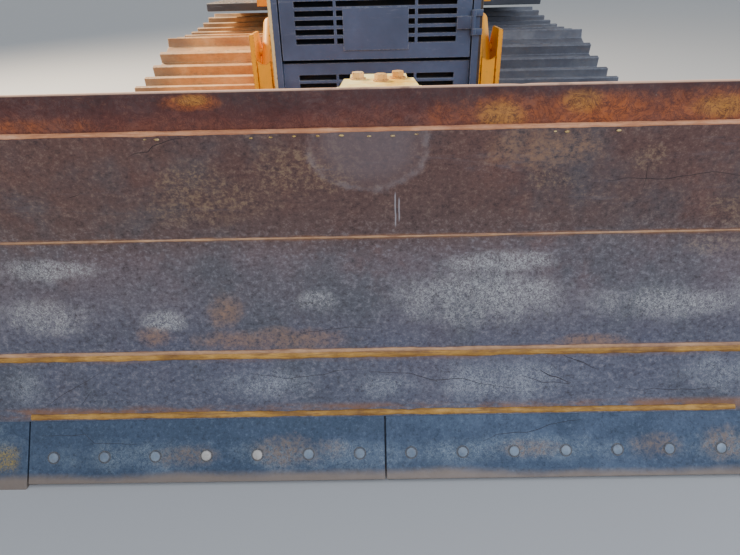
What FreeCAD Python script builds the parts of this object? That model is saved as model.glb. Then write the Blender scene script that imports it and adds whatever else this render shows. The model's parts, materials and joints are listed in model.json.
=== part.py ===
# Crawler bulldozer with an angling and tilting straight blade, as an assembly of separate pieces.
# Millimetres. The blade faces -Y, +X is the machine's left side, +Z is up and the ground is z = 0.
# Every size is a cell of one sheet. A Size carries its number and the cell names that it came from,
# so that each feature below is bound to those cells.
import FreeCAD, Part
import math
import os

import Sketcher

DOC = FreeCAD.newDocument("Bulldozer")
SHEET = DOC.addObject("Spreadsheet::Sheet", "Sizes")
SUBPARTS = []
AXES = {"X": FreeCAD.Vector(1, 0, 0), "Y": FreeCAD.Vector(0, 1, 0), "Z": FreeCAD.Vector(0, 0, 1)}


class Size:
    """A number together with the sheet cells that it is worked out from."""

    def __init__(self, value, text):
        self.value = float(value)
        self.text = text

    def __float__(self):
        return self.value

    def __add__(self, other):
        other = sized(other)
        return Size(self.value + other.value, f"({self.text} + {other.text})")

    def __sub__(self, other):
        other = sized(other)
        return Size(self.value - other.value, f"({self.text} - {other.text})")

    def __mul__(self, other):
        other = sized(other)
        return Size(self.value * other.value, f"({self.text} * {other.text})")

    def __truediv__(self, other):
        other = sized(other)
        return Size(self.value / other.value, f"({self.text} / {other.text})")

    def __neg__(self):
        return Size(-self.value, f"(0 - {self.text})")

    def __radd__(self, other):
        return sized(other) + self

    def __rsub__(self, other):
        return sized(other) - self

    def __rmul__(self, other):
        return sized(other) * self


def sized(number):
    """A Size made from a plain number, or the Size itself."""
    if isinstance(number, Size):
        return number
    return Size(number, f"({float(number)!r})")


def cosine(angle):
    return Size(math.cos(math.radians(angle.value)), f"cos({angle.text} * 1deg)")


def sine(angle):
    return Size(math.sin(math.radians(angle.value)), f"sin({angle.text} * 1deg)")


def fill_sheet(sizes):
    """Writes each named size to a cell of the sheet and returns them by name."""
    named = {}
    for row, (name, number) in enumerate(sizes.items(), 1):
        SHEET.set(f"A{row}", name.replace("_", " "))
        SHEET.set(f"B{row}", str(number))
        SHEET.setAlias(f"B{row}", name)
        named[name] = Size(number, f"Sizes.{name}")
    DOC.recompute()
    return named


# Every size of the machine, in millimetres or degrees
SIZES = {
    # tracks
    "track_gauge": 2080, "shoe_width": 710, "link_pitch": 188, "link_height": 56, "shoe_plate": 14,
    "grouser_height": 55, "grouser_base": 46, "grouser_tip": 32, "link_inner_height": 44, "link_width": 42,
    "link_spread": 150, "idler_y": -1080, "idler_lift": 10, "idler_axle_radius": 44.7,
    "idler_pitch_radius": 300, "sprocket_y": 1750, "sprocket_z": 538, "sprocket_pitch_radius": 352,
    "carrier_y": 450, "carrier_radius": 85, "carrier_rise": 277, "front_sag": 140, "rear_sag": 45,
    "ground_front_y": -760, "ground_rear_y": 1330, "roller_radius": 95, "roller_count": 7,
    "roller_length": 250, "roller_inset": 70, "rail_flange": 14, "sprocket_teeth": 23, "tooth_height": 34,
    "tooth_root_width": 52, "tooth_tip_width": 24, "sprocket_width": 62, "hub_radius": 235,
    "hub_cap_radius": 150, "track_frame_width": 230, "track_frame_bottom": 375, "track_frame_height": 170,
    # main frame and rear
    "frame_half_width": 430, "frame_front_y": -1000, "frame_behind_pivot": 250, "frame_bottom": 400,
    "frame_top": 560, "pivot_shaft_y": 900, "pivot_shaft_z": 462, "pivot_shaft_radius": 55,
    "equalizer_height": 85, "equalizer_width": 80, "seat_gap": 0.3, "housing_front_y": 404, "deck_z": 1130,
    "rear_hull_rear_y": 2120, "rear_hull_bottom": 370, "drawbar_z": 470, "drawbar_rear_y": 2500,
    "drawbar_width": 180, "drawbar_plate": 50, "drawbar_jaw": 90, "drawbar_pin_radius": 26,
    "final_case_radius": 250, "final_neck_radius": 200, "final_case_inset": 180,
    # push frame
    "lift_pivot_y": 200, "lift_pivot_z": 500, "lift_pivot_radius": 42, "pin_gap": 1, "arm_inner_x": 562,
    "arm_outer_x": 650, "arm_height": 96, "arm_corner_y": -1500, "arm_eye_radius": 75,
    "arm_boss_radius": 60, "arm_gap": 5, "nose_rear_y": -1260, "nose_rear_x": 440, "slot_front_y": -1395,
    "nose_front_y": -1850, "kingpin_y": -1900, "kingpin_radius": 42, "kingpin_hub_radius": 95,
    "kingpin_hub_bottom": 330, "kingpin_hub_top": 590, "nose_half_width": 150, "lift_x": 500,
    "lift_lug_y": -1420, "lift_lug_z": 360, "lug_plate": 24, "lug_radius": 52, "eye_radius": 42,
    "eye_width": 46, "pin_radius": 20, "angle_lug_x": 380, "angle_lug_y": -1300, "angle_z": 620,
    # swivel
    "swivel_half_width": 120, "swivel_front_ahead": 215, "swivel_back_ahead": 110, "swivel_bottom": 265,
    "swivel_top": 1046, "swivel_lug_height": 60, "hub_gap": 5, "cap_half_width": 82, "cap_behind": 20,
    "cap_plate": 40, "cap_front_half": 119, "cap_rear_half": 105, "cap_tongue_half": 87,
    "cap_tongue_behind": 100, "ear_x": 430, "ear_ahead": 75, "beam_height": 120, "beam_depth": 55,
    "beam_front_ahead": 200, "beam_half_width": 480, "tilt_axis_z": 520, "tilt_pin_radius": 58,
    "tilt_boss_radius": 105, "swivel_gap": 10, "tilt_ear_x": -185, "tilt_ear_z": 930, "tilt_lug_x": -900,
    "tilt_lug_z": 800, "tilt_plane_ahead": 150,
    # blade
    "blade_width": 3300, "tip_ahead": 600, "edge_length": 199, "edge_slope": 55.7, "edge_thickness": 25,
    "edge_seam": 4, "end_bit_width": 583, "end_bit_drop": 12, "weld_band": 24, "low_facet": 156,
    "low_slope": 64, "mid_facet": 368.5, "mid_slope": 78, "top_facet": 294, "top_slope": 93, "skin": 16,
    "lip_length": 105, "lip_slope": 85, "lip_setback": 9, "lip_thickness": 14, "rib_back_ahead": 262,
    "rib_thickness": 20, "rib_pairs": 4, "core_back_ahead": 226, "core_half_width": 500, "end_plate": 22,
    "box_height": 110, "foot_clearance": 30, "foot_plate": 20,
    # lift cylinders and towers
    "tower_outer_x": 554, "tower_front_y": -1000, "tower_depth": 265, "tower_plate": 12,
    "tower_bottom": 590, "tower_top": 1092, "notch_width": 68, "notch_bottom": 968, "guard_bottom_z": 856,
    "cylinder_guard_half": 29, "trunnion_y": -820, "trunnion_z": 1000, "trunnion_radius": 17,
    "lift_barrel_radius": 34, "lift_rod_radius": 19, "lift_barrel_behind": 150, "lift_barrel_ahead": 440,
    "lift_rod_length": 660, "gland_length": 45, "cap_end": 40, "angle_barrel_radius": 40,
    "angle_rod_radius": 22, "angle_barrel_length": 442, "angle_rod_length": 448, "base_end": 50,
    "tilt_barrel_radius": 44, "tilt_rod_radius": 22, "tilt_barrel_length": 470, "tilt_rod_length": 480,
    # hood and engine
    "grille_y": -1000, "guard_half_width": 460, "guard_post": 40, "guard_depth": 200, "guard_top": 1660,
    "door_gap": 8, "door_half_width": 414, "door_bottom": 982, "door_top": 1560, "door_thickness": 34,
    "door_setback": 4, "knuckle_radius": 10, "knuckle_length": 50, "hinge_pin_radius": 6,
    "hinge_stand_off": 12, "slot_top": 1185, "slot_pitch": 37, "slot_height": 23, "slot_count": 5,
    "upper_slot_count": 8, "bar_inner_x": 170, "bar_outer_x": 182, "slot_outer_x": 350,
    "lower_slot_count": 8, "blank_low": 1020, "blank_step": 6, "blank_half_width": 142,
    "hood_half_width": 440, "hood_bottom": 1500, "hood_top": 1700, "hood_front_y": -800, "hood_rear_y": 400,
    "hood_shoulder": 70, "hood_plate": 6, "engine_door_front_y": -640, "engine_door_bottom": 990,
    "panel_gap": 5, "engine_door_thickness": 26, "engine_half_width": 290, "engine_top": 1440,
    "engine_front_y": -620, "engine_rear_y": 300, "stack_x": -190, "stack_y": -150, "stack_radius": 55,
    "stack_top": 2320, "cleaner_x": 170, "cleaner_y": -350, "cleaner_radius": 115, "cleaner_height": 190,
    "muffler_radius": 88, "muffler_low": 1790, "muffler_high": 2110, "muffler_cone": 50, "louvre_rows": 9,
    "louvre_pitch": 42, "louvre_height": 16, "louvre_length": 380,
    # cab and tank
    "cab_half_width": 760, "cab_front_y": 420, "cab_rear_y": 1800, "cab_top_z": 2830, "cab_post": 70,
    "cab_floor_plate": 40, "cab_door_rear_y": 1250, "cab_waist_z": 1750, "roof_thickness": 110,
    "roof_overhang": 110, "glass": 8, "cab_door_front_y": 520, "cab_door_bottom": 1180,
    "cab_door_thickness": 40, "door_rail": 60, "fender_outer_x": 1230, "fender_plate": 55,
    "fender_front_y": 950, "fender_rear_y": 1900, "tank_half_width": 560, "tank_front_y": 1860,
    "tank_rear_y": 2330, "tank_top": 1790, "tank_cap_radius": 62, "lamp_radius": 46, "lamp_depth": 75,
    "rail_above_deck": 370, "rail_below_roof": 530, "hood_lamp_x": 310, "rail_radius": 14,
    "seat_y": 1280, "seat_base_height": 250, "cushion_thickness": 150, "backrest_height": 1050,
    "console_height": 560, "seat_width": 520,
}
N = fill_sheet(SIZES)

# Places that follow from the sizes
pitch_ground = N["shoe_plate"] + N["grouser_height"] + N["link_height"]
idler_z = pitch_ground + N["idler_pitch_radius"] + N["idler_lift"]
track_x = N["track_gauge"] / 2
track_frame_top = N["track_frame_bottom"] + N["track_frame_height"]
carrier_pitch_z = track_frame_top + N["carrier_rise"]
rail_outside = (N["link_spread"] + N["link_width"]) / 2
rail_inside = (N["link_spread"] - N["link_width"]) / 2
roller_z = pitch_ground + N["link_inner_height"] + N["roller_radius"] + N["seat_gap"]


def solid_object(kind, label):
    return DOC.addObject(kind, label)


def bind(thing, **formulas):
    """Binds an object's properties to formulas of cells."""
    for path, formula in formulas.items():
        thing.setExpression(path.replace("__", "."), sized(formula).text)


def box(x_range, y_range, z_range, label="box"):
    """A box between named faces."""
    made = solid_object("Part::Box", label)
    spans = (x_range, y_range, z_range)
    for length, axis, (low, high) in zip(("Length", "Width", "Height"), "xyz", spans):
        bind(made, **{length: sized(high) - low, f"Placement__Base__{axis}": low})
    return made


def turn_to(axis):
    """The rotation that lays a cylinder's own Z along an axis."""
    return FreeCAD.Rotation(AXES["Z"], AXES[axis])


def rod(axis, radius, low, high, first, second, label="rod"):
    """A cylinder along X, Y or Z from low to high. first and second place it across, in XYZ order."""
    made = solid_object("Part::Cylinder", label)
    made.Placement = FreeCAD.Placement(FreeCAD.Vector(), turn_to(axis))
    across = [name for name in "xyz" if name != axis.lower()]
    bind(made, Radius=radius, Height=sized(high) - low, **{
        f"Placement__Base__{axis.lower()}": low,
        f"Placement__Base__{across[0]}": first,
        f"Placement__Base__{across[1]}": second,
    })
    return made


def taper(low_radius, high_radius, low, high, x, y):
    """An upright cone piece between two radii."""
    cone = solid_object("Part::Cone", "taper")
    bind(cone, Radius1=low_radius, Radius2=high_radius, Height=high - low, Placement__Base__x=x,
         Placement__Base__y=y, Placement__Base__z=low)
    return cone


def fuse(*pieces, label="fused"):
    made = solid_object("Part::MultiFuse", label)
    made.Shapes = list(pieces)
    return made


def cut(base, *tools, label="cut"):
    made = solid_object("Part::Cut", label)
    made.Base = base
    made.Tool = tools[0] if len(tools) == 1 else fuse(*tools)
    return made


def mirrored(piece, label="mirrored"):
    """The same piece on the other side of the machine."""
    made = solid_object("Part::Mirroring", label)
    made.Source = piece
    made.Normal = (1, 0, 0)
    return made


def both_sides(piece, label="pair"):
    return fuse(piece, mirrored(piece), label=label)


def subpart(name, piece):
    """Names the piece that becomes one node."""
    piece.Label = name
    SUBPARTS.append((name, piece))
    return piece


def prism(plane, outline, low, high, label="prism"):
    """A sketched outline of straight sides, padded from low to high across its plane."""
    body = solid_object("PartDesign::Body", label)
    sketch = body.newObject("Sketcher::SketchObject", label + "_sketch")
    origin_plane = [f for f in body.Origin.OriginFeatures if f.Role == plane + "_Plane"][0]
    sketch.AttachmentSupport = [(origin_plane, "")]
    sketch.MapMode = "FlatFace"
    outline = [(sized(u), sized(v)) for u, v in outline]
    count = len(outline)
    corners = [FreeCAD.Vector(u.value, v.value, 0) for u, v in outline]
    sketch.addGeometry([Part.LineSegment(corners[i], corners[(i + 1) % count]) for i in range(count)])
    joins = [Sketcher.Constraint("Coincident", i, 2, (i + 1) % count, 1) for i in range(count)]
    places = []
    for i, corner in enumerate(corners):
        places.append(Sketcher.Constraint("DistanceX", -1, 1, i, 1, corner.x))
        places.append(Sketcher.Constraint("DistanceY", -1, 1, i, 1, corner.y))
    sketch.addConstraint(joins + places)
    for i, (u, v) in enumerate(outline):
        sketch.setExpression(f"Constraints[{count + 2 * i}]", u.text)
        sketch.setExpression(f"Constraints[{count + 2 * i + 1}]", v.text)
    pad = body.newObject("PartDesign::Pad", label + "_pad")
    pad.Profile = sketch
    bind(pad, Length=sized(high) - low)
    if plane == "XZ":
        bind(body, Placement__Base__y=high)
    else:
        bind(body, **{f"Placement__Base__{'x' if plane == 'YZ' else 'z'}": low})
    return body


def shaped(shape, name):
    """A shape worked out from the sheet's numbers where no feature fits it."""
    made = solid_object("Part::Feature", name)
    made.Shape = shape
    return made


def offset_loop(pins, distance):
    """The corners of a loop of links, moved outwards, mitred where links meet."""
    count = len(pins)
    corners = []
    for i, pin in enumerate(pins):
        before = (pin - pins[i - 1]).normalize()
        after = (pins[(i + 1) % count] - pin).normalize()
        normal_before = FreeCAD.Vector(0, -before.z, before.y)
        normal_after = FreeCAD.Vector(0, -after.z, after.y)
        middle = normal_before + normal_after
        corners.append(pin + middle * (distance * 2 / middle.dot(middle)))
    return corners


def extruded_loop(corners, low_x, high_x):
    """A closed loop of corners in the YZ plane as a solid from low_x to high_x."""
    moved = [FreeCAD.Vector(low_x, corner.y, corner.z) for corner in corners]
    face = Part.Face(Part.makePolygon(moved + moved[:1]))
    return face.extrude(FreeCAD.Vector(high_x - low_x, 0, 0))


def arc_points(centre, radius, start, end, step=2.0):
    """Points on a circle in the YZ plane, clockwise from start to end degrees."""
    count = max(2, int(abs(start - end) / step))
    turns = [math.radians(start + (end - start) * i / count) for i in range(count + 1)]
    return [FreeCAD.Vector(0, centre.y + radius * math.cos(a), centre.z + radius * math.sin(a))
            for a in turns]


def sagging_span(start, end, sag, count=40):
    """Points on a hanging span between two supports."""
    shares = [i / count for i in range(count + 1)]
    chord = end - start
    return [start + chord * t - AXES["Z"] * (4 * sag * t * (1 - t)) for t in shares]


def tangent_turn(centre, radius, point, side):
    """The angle on a circle where a straight run from a point meets it, on one side."""
    away = point - centre
    return math.degrees(math.atan2(away.z, away.y) + side * math.acos(radius / away.Length))


def track_path():
    """The pitch line, clockwise seen from the left: carrier roller, sprocket, ground and idler."""
    ground_z = N["shoe_plate"].value + N["grouser_height"].value + N["link_height"].value
    idler_radius = N["idler_pitch_radius"].value
    sprocket_radius = N["sprocket_pitch_radius"].value
    idler = FreeCAD.Vector(0, N["idler_y"].value, idler_z.value)
    sprocket = FreeCAD.Vector(0, N["sprocket_y"].value, N["sprocket_z"].value)
    carrier = FreeCAD.Vector(0, N["carrier_y"].value, carrier_pitch_z.value)
    first = FreeCAD.Vector(0, N["ground_front_y"].value, ground_z)
    last = FreeCAD.Vector(0, N["ground_rear_y"].value, ground_z)
    idler_top = 90.0
    sprocket_top = 90.0
    for _ in range(6):
        leave = arc_points(idler, idler_radius, idler_top, idler_top)[0]
        arrive = arc_points(sprocket, sprocket_radius, sprocket_top, sprocket_top)[0]
        front = sagging_span(leave, carrier, N["front_sag"].value)
        rear = sagging_span(carrier, arrive, N["rear_sag"].value)
        idler_top = math.degrees(math.atan2(front[1].y - front[0].y, front[0].z - front[1].z))
        sprocket_top = math.degrees(math.atan2(rear[-1].y - rear[-2].y, rear[-2].z - rear[-1].z))
    sprocket_end = tangent_turn(sprocket, sprocket_radius, last, 1)
    idler_start = tangent_turn(idler, idler_radius, first, -1)
    return (rear + arc_points(sprocket, sprocket_radius, sprocket_top, sprocket_end) + [last, first]
            + arc_points(idler, idler_radius, idler_start, idler_top - 360) + front[:-1])


def track_pins():
    """Link pins at equal steps along the pitch line, the first over the carrier roller."""
    path = track_path()
    closed = path + path[:1]
    runs = [(b - a).Length for a, b in zip(closed, closed[1:])]
    total = sum(runs)
    count = round(total / N["link_pitch"].value)
    pins = []
    for i in range(count):
        left = total * i / count
        for (a, b), run in zip(zip(closed, closed[1:]), runs):
            if left <= run:
                pins.append(a + (b - a) * (left / run if run else 0))
                break
            left -= run
    return pins


def shoe_corners(pins):
    """The outside of the loop: each link carries a flat plate with one tall grouser at its front."""
    plate = N["link_height"].value + N["shoe_plate"].value
    tip = plate + N["grouser_height"].value
    base_width = N["grouser_base"].value
    tip_width = N["grouser_tip"].value
    mitres = offset_loop(pins, plate)
    corners = []
    for i, pin in enumerate(pins):
        following = pins[(i + 1) % len(pins)]
        along = (following - pin).normalize()
        outward = FreeCAD.Vector(0, -along.z, along.y)
        start = pin + along * ((mitres[i] - pin).dot(along) + 6)
        middle = start + along * (base_width / 2)
        for distance, across in ((plate, -base_width), (tip, -tip_width), (tip, tip_width),
                                 (plate, base_width)):
            corners.append(middle + outward * distance + along * (across / 2))
        corners.append(mitres[(i + 1) % len(pins)])
    return corners


def make_track(side):
    """One track: shoes across the full width and two rails of links inside them, in one solid."""
    pins = track_pins()
    centre = N["track_gauge"].value / 2 * side
    half_shoe = N["shoe_width"].value / 2
    link_top = offset_loop(pins, N["link_height"].value)
    link_inside = offset_loop(pins, -N["link_inner_height"].value)
    track = extruded_loop(shoe_corners(pins), centre - half_shoe, centre + half_shoe)
    track = track.cut(extruded_loop(link_top, centre - half_shoe - 1, centre + half_shoe + 1))
    rails = []
    for offset in (-0.5, 0.5):
        middle = centre + offset * N["link_spread"].value
        low = middle - N["link_width"].value / 2
        high = middle + N["link_width"].value / 2
        rail = extruded_loop(link_top, low, high)
        rails.append(rail.cut(extruded_loop(link_inside, low - 1, high + 1)))
    return track.fuse(rails)


def build_tracks():
    for name, side in (("track_left", 1), ("track_right", -1)):
        subpart(name, shaped(make_track(side), name))


def roller_places():
    """Where the bottom rollers stand, front to back."""
    count = int(N["roller_count"].value)
    first = N["ground_front_y"] + N["roller_inset"]
    step = (N["ground_rear_y"] - N["roller_inset"] - first) / (count - 1)
    return [first + step * i for i in range(count)]


def wheel(y, z, radius, centre_radius, hub_radius, hub_half, recess):
    """A wheel that runs on both rails with a raised middle between them and dished sides."""
    rim = rod("X", radius, track_x - rail_outside, track_x + rail_outside, y, z)
    middle = rod("X", centre_radius, track_x - rail_inside + 4, track_x + rail_inside - 4, y, z)
    hub = rod("X", hub_radius, track_x - hub_half, track_x + hub_half, y, z)
    blank = fuse(rim, middle)
    for low, high in ((track_x - rail_outside - 1, track_x - rail_outside + recess),
                      (track_x + rail_outside - recess, track_x + rail_outside + 1)):
        blank = cut(blank, rod("X", radius - 38, low, high, y, z))
    return fuse(blank, hub)


def build_running_gear():
    """Idlers, toothed sprockets, bottom and carrier rollers."""
    half_pitch = track_pitch() / 2
    idler_chord = math.sqrt(N["idler_pitch_radius"].value ** 2 - half_pitch ** 2)
    idler_rim = N["idler_pitch_radius"] - (N["idler_pitch_radius"].value - idler_chord) \
        - N["link_inner_height"] - N["seat_gap"] - 1
    idler = wheel(N["idler_y"], idler_z, idler_rim, idler_rim + 34, sized(75), rail_outside + 12, 32)
    axle_half = rail_outside + 40
    axle = rod("X", N["idler_axle_radius"], track_x - axle_half, track_x + axle_half, N["idler_y"], idler_z)
    subpart("idlers", both_sides(fuse(idler, axle)))

    rollers = []
    for y in roller_places():
        tread = rod("X", N["roller_radius"], track_x - rail_outside, track_x + rail_outside, y, roller_z)
        shaft = rod("X", 30, track_x - N["roller_length"] / 2, track_x + N["roller_length"] / 2, y, roller_z)
        middle = rod("X", N["roller_radius"] + N["rail_flange"], track_x - rail_inside + 6,
                     track_x + rail_inside - 6, y, roller_z)
        rollers.append(fuse(tread, shaft, middle))
    rollers = fuse(*rollers)
    subpart("track_rollers", both_sides(rollers))

    slope = math.cos(math.radians(24))
    drop = (N["carrier_radius"] + N["link_inner_height"]) / slope
    carrier_z = carrier_pitch_z - drop - N["seat_gap"]
    carrier = rod("X", N["carrier_radius"], track_x - rail_outside, track_x + rail_outside,
                  N["carrier_y"], carrier_z)
    inboard = track_x - N["track_frame_width"] / 2 - N["seat_gap"]
    shaft = rod("X", 28, inboard - 20, track_x + rail_outside + 12, N["carrier_y"], carrier_z)
    arm = box((inboard - 45, inboard), (N["carrier_y"] - 50, N["carrier_y"] + 50),
              (track_frame_top - 105, carrier_z + 48))
    subpart("carrier_rollers", both_sides(fuse(carrier, shaft, arm)))

    toothed = sprocket_rim()
    hub = rod("X", N["hub_radius"], track_x - 70, track_x + 78, N["sprocket_y"], N["sprocket_z"])
    cap = rod("X", N["hub_cap_radius"], track_x + 78, track_x + 150, N["sprocket_y"], N["sprocket_z"])
    subpart("sprockets", both_sides(fuse(toothed, hub, cap)))


def track_pitch():
    """The real step between pins, after the loop is closed by whole links."""
    pins = track_pins()
    return (pins[1] - pins[0]).Length


def sprocket_rim():
    """The toothed rim, its teeth between the rails of the chain."""
    centre = FreeCAD.Vector(0, N["sprocket_y"].value, N["sprocket_z"].value)
    tip = N["sprocket_pitch_radius"].value + 8
    root = tip - N["tooth_height"].value
    teeth = int(N["sprocket_teeth"].value)
    corners = []
    for i in range(teeth):
        middle = 360.0 * i / teeth
        half_root = math.degrees(N["tooth_root_width"].value / 2 / root)
        half_tip = math.degrees(N["tooth_tip_width"].value / 2 / tip)
        for radius, turn in ((root, -half_root), (tip, -half_tip), (tip, half_tip), (root, half_root)):
            corners += arc_points(centre, radius, middle + turn, middle + turn, 1)[:1]
    low = track_x.value - N["sprocket_width"].value / 2
    return shaped(extruded_loop(corners, low, low + N["sprocket_width"].value), "sprocket_rim")


def build_track_frames():
    """The beam inside each track, with idler yoke, roller brackets and rock guards."""
    y1 = N["ground_rear_y"]
    half = N["track_frame_width"] / 2
    yoke_y = N["idler_y"] + N["idler_pitch_radius"] - 10
    beam = box((track_x - half, track_x + half), (yoke_y, y1 + 20),
               (N["track_frame_bottom"], track_frame_top))
    pieces = [beam]
    inner = rail_outside + 14
    outer = inner + 30
    for y in roller_places():
        for low, high in ((track_x - outer, track_x - inner), (track_x + inner, track_x + outer)):
            bracket = box((low, high), (y - 45, y + 45), (roller_z - 50, N["track_frame_bottom"] + 40))
            bore = rod("X", 30.3, low - 1, high + 1, y, roller_z)
            pieces.append(cut(bracket, bore))
    for low, high in ((track_x - outer, track_x - inner), (track_x + inner, track_x + outer)):
        fork = box((low, high), (N["idler_y"] - 110, yoke_y + 1), (idler_z - 55, idler_z + 55))
        bore = rod("X", N["idler_axle_radius"] + N["seat_gap"], low - 1, high + 1, N["idler_y"], idler_z)
        pieces.append(cut(fork, bore))
    nose = box((track_x - outer, track_x + outer), (yoke_y, yoke_y + 80),
               (N["track_frame_bottom"], track_frame_top - 30))
    pieces.append(nose)
    beam_side = fuse(*pieces)
    shaft_hole = rod("X", N["pivot_shaft_radius"] + N["seat_gap"], track_x - outer - 1, track_x - half + 80,
                     N["pivot_shaft_y"], N["pivot_shaft_z"])
    subpart("track_frames", both_sides(cut(beam_side, shaft_hole)))
    axle = rod("X", N["pivot_shaft_radius"], N["frame_half_width"], track_x - half + 79,
               N["pivot_shaft_y"], N["pivot_shaft_z"])
    subpart("pivot_shafts", both_sides(axle))
    places = roller_places()
    y = (places[1] + places[2]) / 2
    top = N["track_frame_bottom"] - N["seat_gap"]
    bar = box((-track_x - 60, track_x + 60), (y - N["equalizer_width"] / 2, y + N["equalizer_width"] / 2),
              (top - N["equalizer_height"], top))
    saddle = box((-70, 70), (y - 45, y + 45), (top - 1, N["frame_bottom"] - N["seat_gap"]))
    subpart("equalizer_bar", fuse(bar, saddle))


def build_main_frame():
    """The box frame with push-frame bosses, the housing above it, the rear hull and its drawbar."""
    half = N["frame_half_width"]
    rear_y = N["pivot_shaft_y"] + N["frame_behind_pivot"]
    frame = box((-half, half), (N["frame_front_y"], rear_y), (N["frame_bottom"], N["frame_top"]))
    pins = []
    boss_end = N["arm_inner_x"] - N["arm_gap"]
    pin_end = N["arm_outer_x"] + 8
    for radius, low, high in ((N["lift_pivot_radius"], half, pin_end),
                              (N["lift_pivot_radius"], -pin_end, -half),
                              (N["arm_boss_radius"], half - 2, boss_end),
                              (N["arm_boss_radius"], -boss_end, -half + 2)):
        pins.append(rod("X", radius, low, high, N["lift_pivot_y"], N["lift_pivot_z"]))
    subpart("main_frame", fuse(frame, *pins))
    housing = box((-half, half), (N["housing_front_y"], rear_y), (N["frame_top"], N["deck_z"]))
    subpart("centre_housing", housing)
    floor_rise = 160
    hull_low, hull_rear = N["rear_hull_bottom"], N["rear_hull_rear_y"]
    hull = prism("YZ", [(rear_y, hull_low), (hull_rear - floor_rise, hull_low),
                        (hull_rear, hull_low + floor_rise), (hull_rear, N["deck_z"]),
                        (rear_y, N["deck_z"])], -half, half)
    subpart("rear_hull", hull)
    case_end = N["track_gauge"] / 2 - N["final_case_inset"]
    case = rod("X", N["final_case_radius"], half, case_end, N["sprocket_y"], N["sprocket_z"])
    neck = rod("X", N["final_neck_radius"], case_end, track_x - 70, N["sprocket_y"], N["sprocket_z"])
    subpart("final_drives", both_sides(fuse(case, neck)))
    y0 = N["rear_hull_rear_y"]
    y1 = N["drawbar_rear_y"]
    wide = N["drawbar_width"] / 2
    plate = N["drawbar_plate"]
    z = N["drawbar_z"]
    jaw = N["drawbar_jaw"] / 2
    jaws = []
    for low, high in ((z + jaw, z + jaw + plate), (z - jaw - plate, z - jaw)):
        jaws.append(box((-wide, wide), (y0, y1 - wide), (low, high)))
        jaws.append(rod("Z", wide, low, high, 0, y1 - wide))
    root = box((-wide, wide), (y0, y0 + 120), (z - jaw - plate, z + jaw + plate))
    bore = rod("Z", N["drawbar_pin_radius"], z - 200, z + 200, 0, y1 - wide)
    back = box((-wide - 40, wide + 40), (y0, y0 + 30), (z - 120, z + 160))
    subpart("drawbar", cut(fuse(*jaws, root, back), bore))


def lug_pair(along, centre, radius, root, plate=None, gap=None):
    """Two parallel plates round a pin point, their hinge axis along X, Y or Z, each reaching a root box.

    centre is the pin's x, y, z. root gives the low and high sides of the box that joins each plate to
    what carries it, for the two directions across the axis, in XYZ order."""
    plate = plate or N["lug_plate"]
    gap = gap or N["eye_width"] / 2 + 1
    index = "XYZ".index(along)
    middle = sized(centre[index])
    others = [sized(c) for i, c in enumerate(centre) if i != index]
    pieces = []
    for low, high in ((middle - gap - plate, middle - gap), (middle + gap, middle + gap + plate)):
        spans = list(root)
        spans.insert(index, (low, high))
        pieces.append(fuse(rod(along, radius, low, high, *others), box(*spans)))
    return fuse(*pieces)


def build_push_frame():
    """The C-shaped frame: two arms inside the tracks joined by a nose with the kingpin hub."""
    half_height = N["arm_height"] / 2
    z0, z1 = N["lift_pivot_z"] - half_height, N["lift_pivot_z"] + half_height
    xi, xo = N["arm_inner_x"], N["arm_outer_x"]
    right = [(xi, N["lift_pivot_y"]), (xi, N["slot_front_y"]), (N["nose_rear_x"], N["slot_front_y"]),
             (N["nose_rear_x"], N["nose_rear_y"])]
    left = [(-x, y) for x, y in reversed(right)]
    front = [(-xo, N["lift_pivot_y"]), (-xo, N["arm_corner_y"]), (-N["nose_half_width"], N["nose_front_y"]),
             (N["nose_half_width"], N["nose_front_y"]), (xo, N["arm_corner_y"]), (xo, N["lift_pivot_y"])]
    plate = prism("XY", right + left + front, z0, z1)
    hub = rod("Z", N["kingpin_hub_radius"], N["kingpin_hub_bottom"], N["kingpin_hub_top"], 0, N["kingpin_y"])
    neck = box((-60, 60), (N["kingpin_y"], N["nose_front_y"] + 60), (N["kingpin_hub_bottom"] + 20, z1))
    keel = prism("YZ", [(N["nose_front_y"], N["kingpin_hub_bottom"] + 20), (N["nose_front_y"], z0 + 1),
                        (N["nose_rear_y"] - 40, z0 + 1)], -30, 30)
    frame = fuse(plate, hub, neck, keel)
    eyes = []
    for low, high in ((xi, xo), (-xo, -xi)):
        eyes.append(rod("X", N["arm_eye_radius"], low, high, N["lift_pivot_y"], N["lift_pivot_z"]))
    lugs = []
    for side in (1, -1):
        centre = (N["lift_x"] * side, N["lift_lug_y"], N["lift_lug_z"])
        lugs.append(lug_pair("X", centre, N["lug_radius"],
                             ((N["lift_lug_y"] - 60, N["lift_lug_y"] + 24), (N["lift_lug_z"], z0 + 1))))
        centre = (N["angle_lug_x"] * side, N["angle_lug_y"], N["angle_z"])
        lugs.append(angle_frame_lug(centre, side, z1))
    frame = fuse(frame, *eyes, *lugs)
    pin_bore = N["lift_pivot_radius"] + N["pin_gap"]
    bores = [rod("X", pin_bore, -xo - 1, xo + 1, N["lift_pivot_y"], N["lift_pivot_z"]),
             rod("Z", N["kingpin_radius"] + N["pin_gap"], N["kingpin_hub_bottom"] - 1,
                 N["kingpin_hub_top"] + 1, 0, N["kingpin_y"])]
    subpart("push_frame", cut(frame, *bores))


def angle_frame_lug(centre, side, deck):
    """A fork on the push frame's top with the pin of one angle cylinder."""
    x, y, z = centre
    gap = N["eye_width"] / 2 + 1
    plate = N["lug_plate"]
    lower = box((x - 45, x + 45), (y - 34, y + 70), (deck - 1, z - gap))
    back = box((x - 45, x + 45), (y + 48, y + 70), (deck - 1, z + gap + plate))
    upper = box((x - 45, x + 45), (y - 34, y + 70), (z + gap, z + gap + plate))
    pin = rod("Z", N["pin_radius"], z - gap - 1, z + gap + 1, x, y)
    return fuse(lower, back, upper, pin)


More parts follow.
